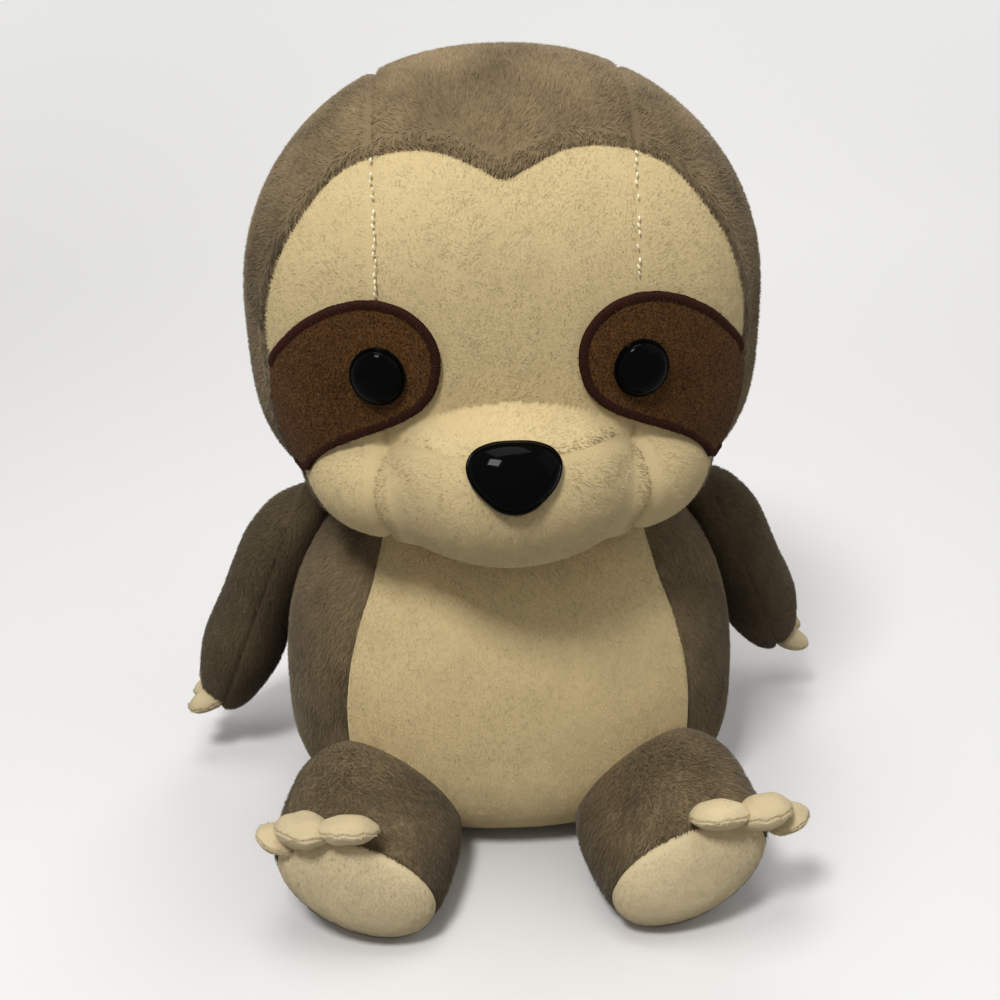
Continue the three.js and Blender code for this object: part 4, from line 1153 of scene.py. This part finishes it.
class SLOTH_OT_filling(bpy.types.Operator):
    """Makes the fibre filling of each part, and the neck"""

    bl_idname = "sloth.filling"
    bl_label = "Filling and neck"

    def execute(self, context):
        shader = Shader("fibre_filling", Roughness=0.9)
        fluff = shader.noise(260.0, 4.0)
        shader.paint(srgb(226, 222, 212), 0.9 + 0.15 * fluff)
        shader.bump(fluff, 0.4, 0.001)
        inset, ball, dish = 3.8, 22.6, 24.5
        form = Form(head_point, *CORE_GRID)
        points = hollowed(form.points - form.normals * (inset + 2), 1.5)
        self.core("head_filling", form, points, shader.material, "head", "head_stuffing")
        form = Form(body_point, *CORE_GRID)
        points = form.points - form.normals * inset
        points[:, 2] = np.maximum(points[:, 2], 3.5)
        apart = np.hypot(points[:, 0], points[:, 1])
        bowl = NECK[2] - np.sqrt(np.maximum(dish ** 2 - apart ** 2, 0))
        points[:, 2] = np.where(apart < dish, np.minimum(points[:, 2], bowl), points[:, 2])
        self.core("body_filling", form, points, shader.material, "torso", "body_stuffing")
        for name, _ in SIDES:
            for part, limb in (("arm", ARMS[name]), ("leg", LEGS[name])):
                form = Form(limb.point, *LIMB_CORE_GRID)
                points = bedded(form.points - form.normals * inset, -1.0)
                points[:, 2] = np.maximum(points[:, 2], 3.0)
                piece = self.core(f"{part}_filling_{name}", form, points, shader.material, None,
                                  f"{part}_stuffing_{name}")
                bend(piece, limb, f"{part}_{name}")
        form = Form(lambda around, along: NECK + ball * even_way(around, along), *BALL_GRID)
        _, taupe = colours_of("hood", context.scene.sloth_pile)
        self.core("neck_filling", form, form.points, taupe, "neck", "neck_stuffing")
        return {"FINISHED"}

    def core(self, name, form, points, material, body, node):
        """One part's filling, in an even tint."""
        piece = make_mesh(name, points, [form.quads, form.caps], None, np.full(len(points), 0.85))
        return finish_piece(piece, material, body, "stuffing_fibre", node, fill=0.9)


class SLOTH_OT_fittings(bpy.types.Operator):
    """Makes the eye patches, the eyes, the nose and the stitches"""

    bl_idname = "sloth.fittings"
    bl_label = "Patches, eyes and nose"

    def execute(self, context):
        trim = context.scene.sloth_trim
        random = np.random.default_rng(41)
        self.suede = self.suede_material(trim)
        self.satin = self.satin_material(trim)
        self.gloss = Shader("black_gloss_plastic", Base_Color=opaque(trim.gloss), Roughness=0.06,
                            Specular_IOR_Level=0.03).material
        for name, side in SIDES:
            self.patch(trim, name, side, random)
            self.eye(name, side)
        self.nose()
        self.stitches(random)
        return {"FINISHED"}

    def suede_material(self, trim):
        """Suede: its colour broken up by a fine strong noise."""
        shader = Shader("patch_suede_cloth", Roughness=0.9, Sheen_Weight=0.06, Sheen_Roughness=0.5,
                        Specular_IOR_Level=0.1)
        shader.paint(trim.patch,
                     shader.attribute("tint") * (-0.6 + 3.2 * shader.noise(1500.0, 1.0)))
        shader.bump(shader.noise(1800.0, 2.0), 0.5, 0.0004)
        return shader.material

    def satin_material(self, trim):
        """Satin stitch: its threads' tint, which carries painted sheen and shade, with a faint
        noise.
        """
        shader = Shader("border_satin", Roughness=0.65, Specular_IOR_Level=0.08)
        shader.paint(trim.border,
                     shader.attribute("tint") * (0.85 + 0.3 * shader.noise(900.0, 2.0)))
        return shader.material

    def patch(self, trim, name, side, random):
        """The patch: rings from its middle out to its edge on the head, a little proud of it,
        with short pile. It is worked out for the left and mirrored for the right."""
        middle = HEAD_CENTRE[[0, 2]] + HEAD_SCALE * (0.61, -0.17)
        rings, fibres = 46, 9000
        loop = counterclockwise(PATCH_EDGE.loop)
        share = (np.arange(1, rings + 1) / rings)[::-1, None, None]
        places = (middle + share * (loop - middle)).reshape(-1, 2)
        points = np.vstack([head_front(*places.T), head_front(middle[:1], middle[1:])])
        normals = head_normals(points)
        edge = np.append(PATCH_EDGE.inside(points[:-1], normals[:-1]), SEAMLESS)
        lift = 1.25 * np.clip(edge / 1.2, 0, 1) ** 0.5 - 0.9 * (edge < 0.2)
        grain = 0.06 * noise(points, 0.8, 51)
        cloth = points + normals * (lift + grain)[:, None]
        quads, caps = ring_faces(rings, len(loop))
        roots = random.integers(0, len(points) - 1, fibres)
        rooted = cloth[roots] + random.normal(scale=0.25, size=(fibres, 3))
        strand, faces, shading = tufts(rooted, normals[roots], flattened(-UP, normals[roots]),
                                       0.75, 0.2, random)
        tint = np.concatenate([0.95 + 0.1 * noise(points, 9.0, 52),
                               np.repeat(1.0 + 0.3 * random.normal(size=fibres), 4)])
        chart = filled(np.vstack([places, middle[None], fibre_chart(places[roots], 0.05)]))
        faces = [quads - 1, np.vstack([caps[len(loop):] - 1, faces + len(cloth)])]
        shading = np.vstack([normals, shading]) * ((side > 0) * 2 - 1, 1, 1)
        piece = make_mesh(f"eye_patch_{name}_suede",
                          *mirrored(np.vstack([cloth, strand]), faces, side), chart, tint, shading)
        finish_piece(piece, self.suede, "head", "patch_suede", f"eye_patch_{name}")
        self.border(trim, name, side, loop, random)

    def border(self, trim, name, side, loop, random):
        """A rounded band that follows the patch's edge, ridged across by its threads, with
        loose fibres. It sinks away where the patch runs into the seam of the hood."""
        wide, fibres = trim.border_width / MM, 6500
        spots = head_front(*smooth_loop(loop[::6], 0.13).T)
        normals = head_normals(spots)
        ahead = unit(np.roll(spots, -1, 0) - np.roll(spots, 1, 0))
        inward = unit(np.cross(normals, ahead))
        length = np.concatenate([[0], np.cumsum(np.linalg.norm(np.diff(spots, axis=0), axis=1))])
        threads = np.cos(2 * np.pi * (length / 0.75))
        hidden = np.clip((2.6 - HAIRLINE.inside(spots, normals)) / 1.6, 0, 1)
        wander = 0.12 * noise(spots, 5.0, 61) + 0.1 * noise(spots, 0.7, 62)
        centre = (spots + inward * (wide / 2 - 0.1 + wander)[:, None]
                  + normals * (0.75 - 3.0 * hidden)[:, None])
        ridge = 1 + 0.13 * threads + 0.05 * noise(spots, 0.6, 63)
        turn = np.arange(14) / 14 * 2 * np.pi
        across, above = np.cos(turn), np.sin(turn)
        height = np.where(above > 0, 0.95 * above, 0.5 * above)
        band = (centre[:, None] + inward[:, None] * (across * wide / 2)[None, :, None]
                + normals[:, None] * height[None, :, None] * ridge[:, None, None])
        count, around = band.shape[:2]
        row, column = np.arange(count)[:, None], np.arange(around)[None]
        here, after = row * around, (row + 1) % count * around
        beside = (column + 1) % around
        quads = np.stack([here + column, here + beside, after + beside, after + column], -1)
        chart = np.stack(np.broadcast_arrays(row / count, column / around), -1).reshape(-1, 2)
        # Painted sheen and shade on the satin stitch: each thread's ridge is painted lighter and
        # the groove between threads darker, in step with the ridges' height.
        tone = 1 + 0.45 * threads + 0.12 * noise(spots, 0.9, 64)
        shown = np.flatnonzero(hidden < 0.3)
        chosen = shown[random.integers(0, len(shown), fibres)]
        offset = wide * (random.random(fibres) - 0.5)
        roots = centre[chosen] + inward[chosen] * offset[:, None] + normals[chosen] * 0.45
        outward = -inward[chosen] * np.sign(offset + 0.35 * wide)[:, None]
        strand, fray, _ = tufts(roots, normals[chosen], outward, 0.85, 0.17, random)
        tint = np.concatenate([np.repeat(tone, around),
                               np.repeat(1.05 + 0.35 * random.normal(size=fibres), 4)])
        spot = np.stack([chosen / count, 0.25 + 0.5 * random.random(fibres)], -1)
        chart = 0.01 + 0.98 * np.clip(np.vstack([chart, fibre_chart(spot, 1e-3)]), 0, 1)
        points = np.vstack([band.reshape(-1, 3), strand])
        faces = [quads.reshape(-1, 4), fray + count * around]
        piece = make_mesh(f"patch_border_{name}", *mirrored(points, faces, side), chart, tint)
        finish_piece(piece, self.satin, "head", "patch_suede")

    def eye(self, name, side):
        """A turned dome with a small rim, on its stem, a little higher than it is wide."""
        seat = Seat(side * 38.3, -9.6)
        base, radius, stem, depth, rise = 1.7, 8.5, 2.1, 11, 4.6
        profile = [(stem, base - depth), (stem, base - 0.1), (stem + 0.2, base),
                   (radius - 0.15, base), (radius, base + 0.15), (radius, base + 0.7),
                   (radius - 0.12, base + 0.9), (radius * 0.94, base + 0.92)]
        profile += [(radius * 0.93 * np.cos(turn), base + 0.85 + 3.75 * np.sin(turn))
                    for turn in np.linspace(0, 1, 26)[:-1] * np.pi / 2]
        turn = np.arange(72) / 72 * 2 * np.pi
        circle = np.stack([np.cos(turn), np.sin(turn)], -1) * (1, 1.05)
        rings = stacked(circle, *np.array(profile).T)
        self.knob(f"eye_{name}_dome", seat, rings, base - depth, base + rise, f"eye_{name}")

    def nose(self):
        """A rounded three-cornered button: its outline drawn in to the middle as it rises."""
        loop = counterclockwise(closed_curve(
            ((0, 0.8), (0.45, 0.76), (0.8, 0.58), (0.98, 0.25), (0.97, -0.1), (0.84, -0.46),
             (0.62, -0.78), (0.36, -1.05), (0, -1.17)), (14.0, 11.2), np.zeros(2), 0.5))
        turn = np.linspace(0, np.pi / 2, 30)[:-1]
        share = np.concatenate([[1, 1, 0.99, 0.95], 0.94 * np.cos(turn)])
        height = np.concatenate([[-1.3, 0.45, 0.7, 0.74], 0.66 + 3.94 * np.sin(turn)])
        self.knob("nose_button", Seat(0, -32.2), stacked(loop, share, height), -1.3, 4.6, "nose")

    def knob(self, name, seat, rings, low, high, node):
        """A closed gloss form through rings on a seat, from its lowest to its highest point."""
        points = np.vstack([[[0, 0, low]], rings.reshape(-1, 3), [[0, 0, high]]])
        piece = make_mesh(name, seat.placed(points), ring_faces(*rings.shape[:2]))
        finish_piece(piece, self.gloss, "head", "black_gloss", node)

    def stitches(self, random):
        """Short pale threads along the two seams down the face, each a small rounded bar. More
        of them show on the right."""
        shader = Shader("seam_thread", Base_Color=opaque(srgb(238, 229, 200)), Roughness=0.55)
        turn, rise = np.meshgrid(np.arange(8) / 8, np.arange(1, 6) / 6)
        bar = even_way(turn.ravel(), rise.ravel()) * (0.36, 0.3, 0.8)
        bar = np.vstack([[0, 0, -0.8], bar, [0, 0, 0.8]])
        low, high, pitch = 206.0, 243.0, 1.9
        centres = []
        for side, shown in ((-1, 0.9), (1, 0.55)):
            up = np.arange(low, high, pitch)
            up = up[random.random(len(up)) < shown]
            centres.append(np.stack([side * (GUSSET + 0.25 * random.normal(size=len(up))), up], -1))
        spots = head_front(*np.vstack(centres).T)
        normals = head_normals(spots)
        upward = unit(flattened(UP, normals) + 0.25 * random.normal(size=normals.shape))
        across = unit(np.cross(upward, normals))
        ways = np.stack([across, -normals, upward], 1)
        points = (spots - normals * 0.35)[:, None] + np.einsum("kj,njx->nkx", bar, ways)
        first = (np.arange(len(spots)) * len(bar))[:, None, None]
        faces = [(item[None] + first).reshape(-1, item.shape[1]) for item in ring_faces(5, 8)]
        piece = make_mesh("face_stitches", points.reshape(-1, 3), faces)
        finish_piece(piece, shader.material, "head", "cream_plush")


def counterclockwise(loop):
    """The loop, turned over if its area, summed over its edges, is negative."""
    after = np.roll(loop, -1, 0)
    area = np.sum(loop[:, 0] * after[:, 1] - after[:, 0] * loop[:, 1])
    return loop[::-1] if area < 0 else loop


def stacked(outline, sizes, heights):
    """Rings of one outline, each at its own size and height."""
    rings = outline * sizes[:, None, None]
    levels = np.broadcast_to(heights[:, None, None], (*rings.shape[:2], 1))
    return np.concatenate([rings, levels], -1)


def mirrored(points, faces, side):
    """The same skin for the other side: mirrored across the middle, with its faces turned over."""
    if side > 0:
        return points, faces
    return points * (-1, 1, 1), [item[:, ::-1] for item in faces]


def head_normals(points, step=0.4):
    """Outward directions on the head, from how its inside depth falls along the three axes."""
    falls = [inside_head(points - way) - inside_head(points + way) for way in np.eye(3) * step]
    return unit(np.stack(falls, -1))


SEEING = ("Is Camera Ray", "Is Glossy Ray", "Is Transmission Ray")


class SLOTH_OT_stage(bpy.types.Operator):
    """Makes the floor, the lamps and the camera"""

    bl_idname = "sloth.stage"
    bl_label = "Stage"

    def execute(self, context):
        self.camera(context)
        self.floor()
        self.lamps(context)
        return {"FINISHED"}

    def camera(self, context):
        """The camera in front of the sloth, above it and looking down, turned by yaw, pitch and
        roll."""
        yaw, pitch, roll = np.radians([1.5, 24.4, 1.4])
        back, height, sensor, focal_share = 446.0, 313.0, 36.0, 1.36
        place = np.array([-2.0 - back * np.tan(yaw), -back, height])
        ahead = np.array([np.sin(yaw) * np.cos(pitch), np.cos(yaw) * np.cos(pitch), -np.sin(pitch)])
        right = np.array([np.cos(yaw), -np.sin(yaw), 0])
        above = np.cross(right, ahead)
        across = np.cos(roll) * right - np.sin(roll) * above
        upright = np.sin(roll) * right + np.cos(roll) * above
        camera = bpy.data.cameras.new("camera")
        camera.sensor_width, camera.lens = sensor, sensor * focal_share
        seat = bpy.data.objects.new("camera", camera)
        matrix = np.eye(4)
        matrix[:3] = np.column_stack([across, upright, -ahead, (place + ORIGIN) * MM])
        seat.matrix_world = Matrix(matrix)
        context.scene.collection.objects.link(seat)
        context.scene.camera = seat

    def floor(self):
        """A floor that curves up into a wall behind: a straight run, a quarter turn, a rise. What
        the camera sees of it far away glows evenly and takes no shade."""
        radius, back, wide, front, top = 500.0, 900.0, 3000.0, -2500.0, 3000.0
        turn = np.linspace(0, np.pi / 2, 24)
        curve = np.stack([back + radius * np.sin(turn), radius - radius * np.cos(turn)], -1)
        profile = np.vstack([[[front, 0.0]], curve, [[back + radius, top]]])
        count = len(profile)
        points = np.vstack([np.column_stack([np.full(count, x), profile]) for x in (-wide, wide)])
        low = np.arange(count - 1)
        quads = np.stack([low, low + count, low + count + 1, low + 1], -1)
        piece = make_mesh("floor_sweep", points, [quads])
        shader = Shader("pale_floor", Roughness=0.8, Emission_Strength=1.0)
        path = shader.node("ShaderNodeLightPath").outputs
        camera, glossy, transmission = (Value(shader, path[name]) for name in SEEING)
        seen = camera + glossy + transmission
        away = Value(shader, shader.node("ShaderNodeVectorMath", {"operation": "LENGTH"},
                                         {0: shader.place()}).outputs["Value"])
        far = away.math("MINIMUM", away.math("MAXIMUM", 0.9 * (away - 0.4), 0.0), 1.0) * seen
        shader.paint((0.8, 0.79, 0.775), (0.4 + 0.6 * seen) * (1 - far))
        shader.paint((0.8, 0.795, 0.785), far, "Emission Color")
        piece.data.materials.append(shader.material)

    def lamps(self, context):
        """Four square lamps that look at the sloth's chest, and a pale surrounding that is
        brighter to the camera than to the surfaces."""
        target = Vector((0, 0, 0.12))
        for name, place, size, energy in (
                ("window_lamp", (-0.32, -0.66, 1.2), 0.26, 10.7),
                ("side_lamp", (0.8, -0.3, 0.9), 0.9, 1.6),
                ("back_lamp", (0.25, 1.15, 0.85), 0.9, 6.0),
                ("top_lamp", (-0.1, -0.05, 1.4), 0.6, 5.5)):
            lamp = bpy.data.lights.new(name, "AREA")
            lamp.shape, lamp.size, lamp.energy = "SQUARE", size, energy
            seat = bpy.data.objects.new(name, lamp)
            seat.location = place
            seat.rotation_mode = "QUATERNION"
            seat.rotation_quaternion = (target - Vector(place)).to_track_quat("-Z", "Y")
            context.scene.collection.objects.link(seat)
        world = bpy.data.worlds.new("studio")
        world.use_nodes = True
        nodes, links = world.node_tree.nodes, world.node_tree.links
        light = nodes["Background"].inputs
        light["Color"].default_value = (1, 1, 1, 1)
        path = nodes.new("ShaderNodeLightPath").outputs
        to_surfaces, to_camera, before = 0.24, 0.62, None
        for name in SEEING:
            total = nodes.new("ShaderNodeMath")
            total.operation = "MULTIPLY_ADD"
            links.new(path[name], total.inputs[0])
            total.inputs[1].default_value, total.inputs[2].default_value = to_camera, to_surfaces
            if before:
                links.new(before, total.inputs[2])
            before = total.outputs[0]
        links.new(before, light["Strength"])
        context.scene.world = world
        context.scene.view_settings.view_transform = "Standard"


class SLOTH_PT_panel(bpy.types.Panel):
    """Lists the steps of the plush sloth"""

    bl_idname = "SLOTH_PT_panel"
    bl_label = "Plush sloth"
    bl_space_type = "VIEW_3D"
    bl_region_type = "UI"
    bl_category = "Plush Sloth"

    def draw(self, context):
        for operator in OPERATORS:
            self.layout.operator(operator.bl_idname)


OPERATORS = (SLOTH_OT_stage, SLOTH_OT_head, SLOTH_OT_body, SLOTH_OT_limbs, SLOTH_OT_claws,
             SLOTH_OT_filling, SLOTH_OT_fittings)
CLASSES = (PileSizes, TrimSizes, *OPERATORS, SLOTH_PT_panel)


def register():
    for item in CLASSES:
        bpy.utils.register_class(item)
    bpy.types.Scene.sloth_pile = PointerProperty(type=PileSizes)
    bpy.types.Scene.sloth_trim = PointerProperty(type=TrimSizes)


def unregister():
    del bpy.types.Scene.sloth_pile, bpy.types.Scene.sloth_trim
    for item in reversed(CLASSES):
        bpy.utils.unregister_class(item)


def main():
    register()
    for operator in OPERATORS:
        group, name = operator.bl_idname.split(".")
        getattr(getattr(bpy.ops, group), name)()


if __name__ == "__main__":
    main()
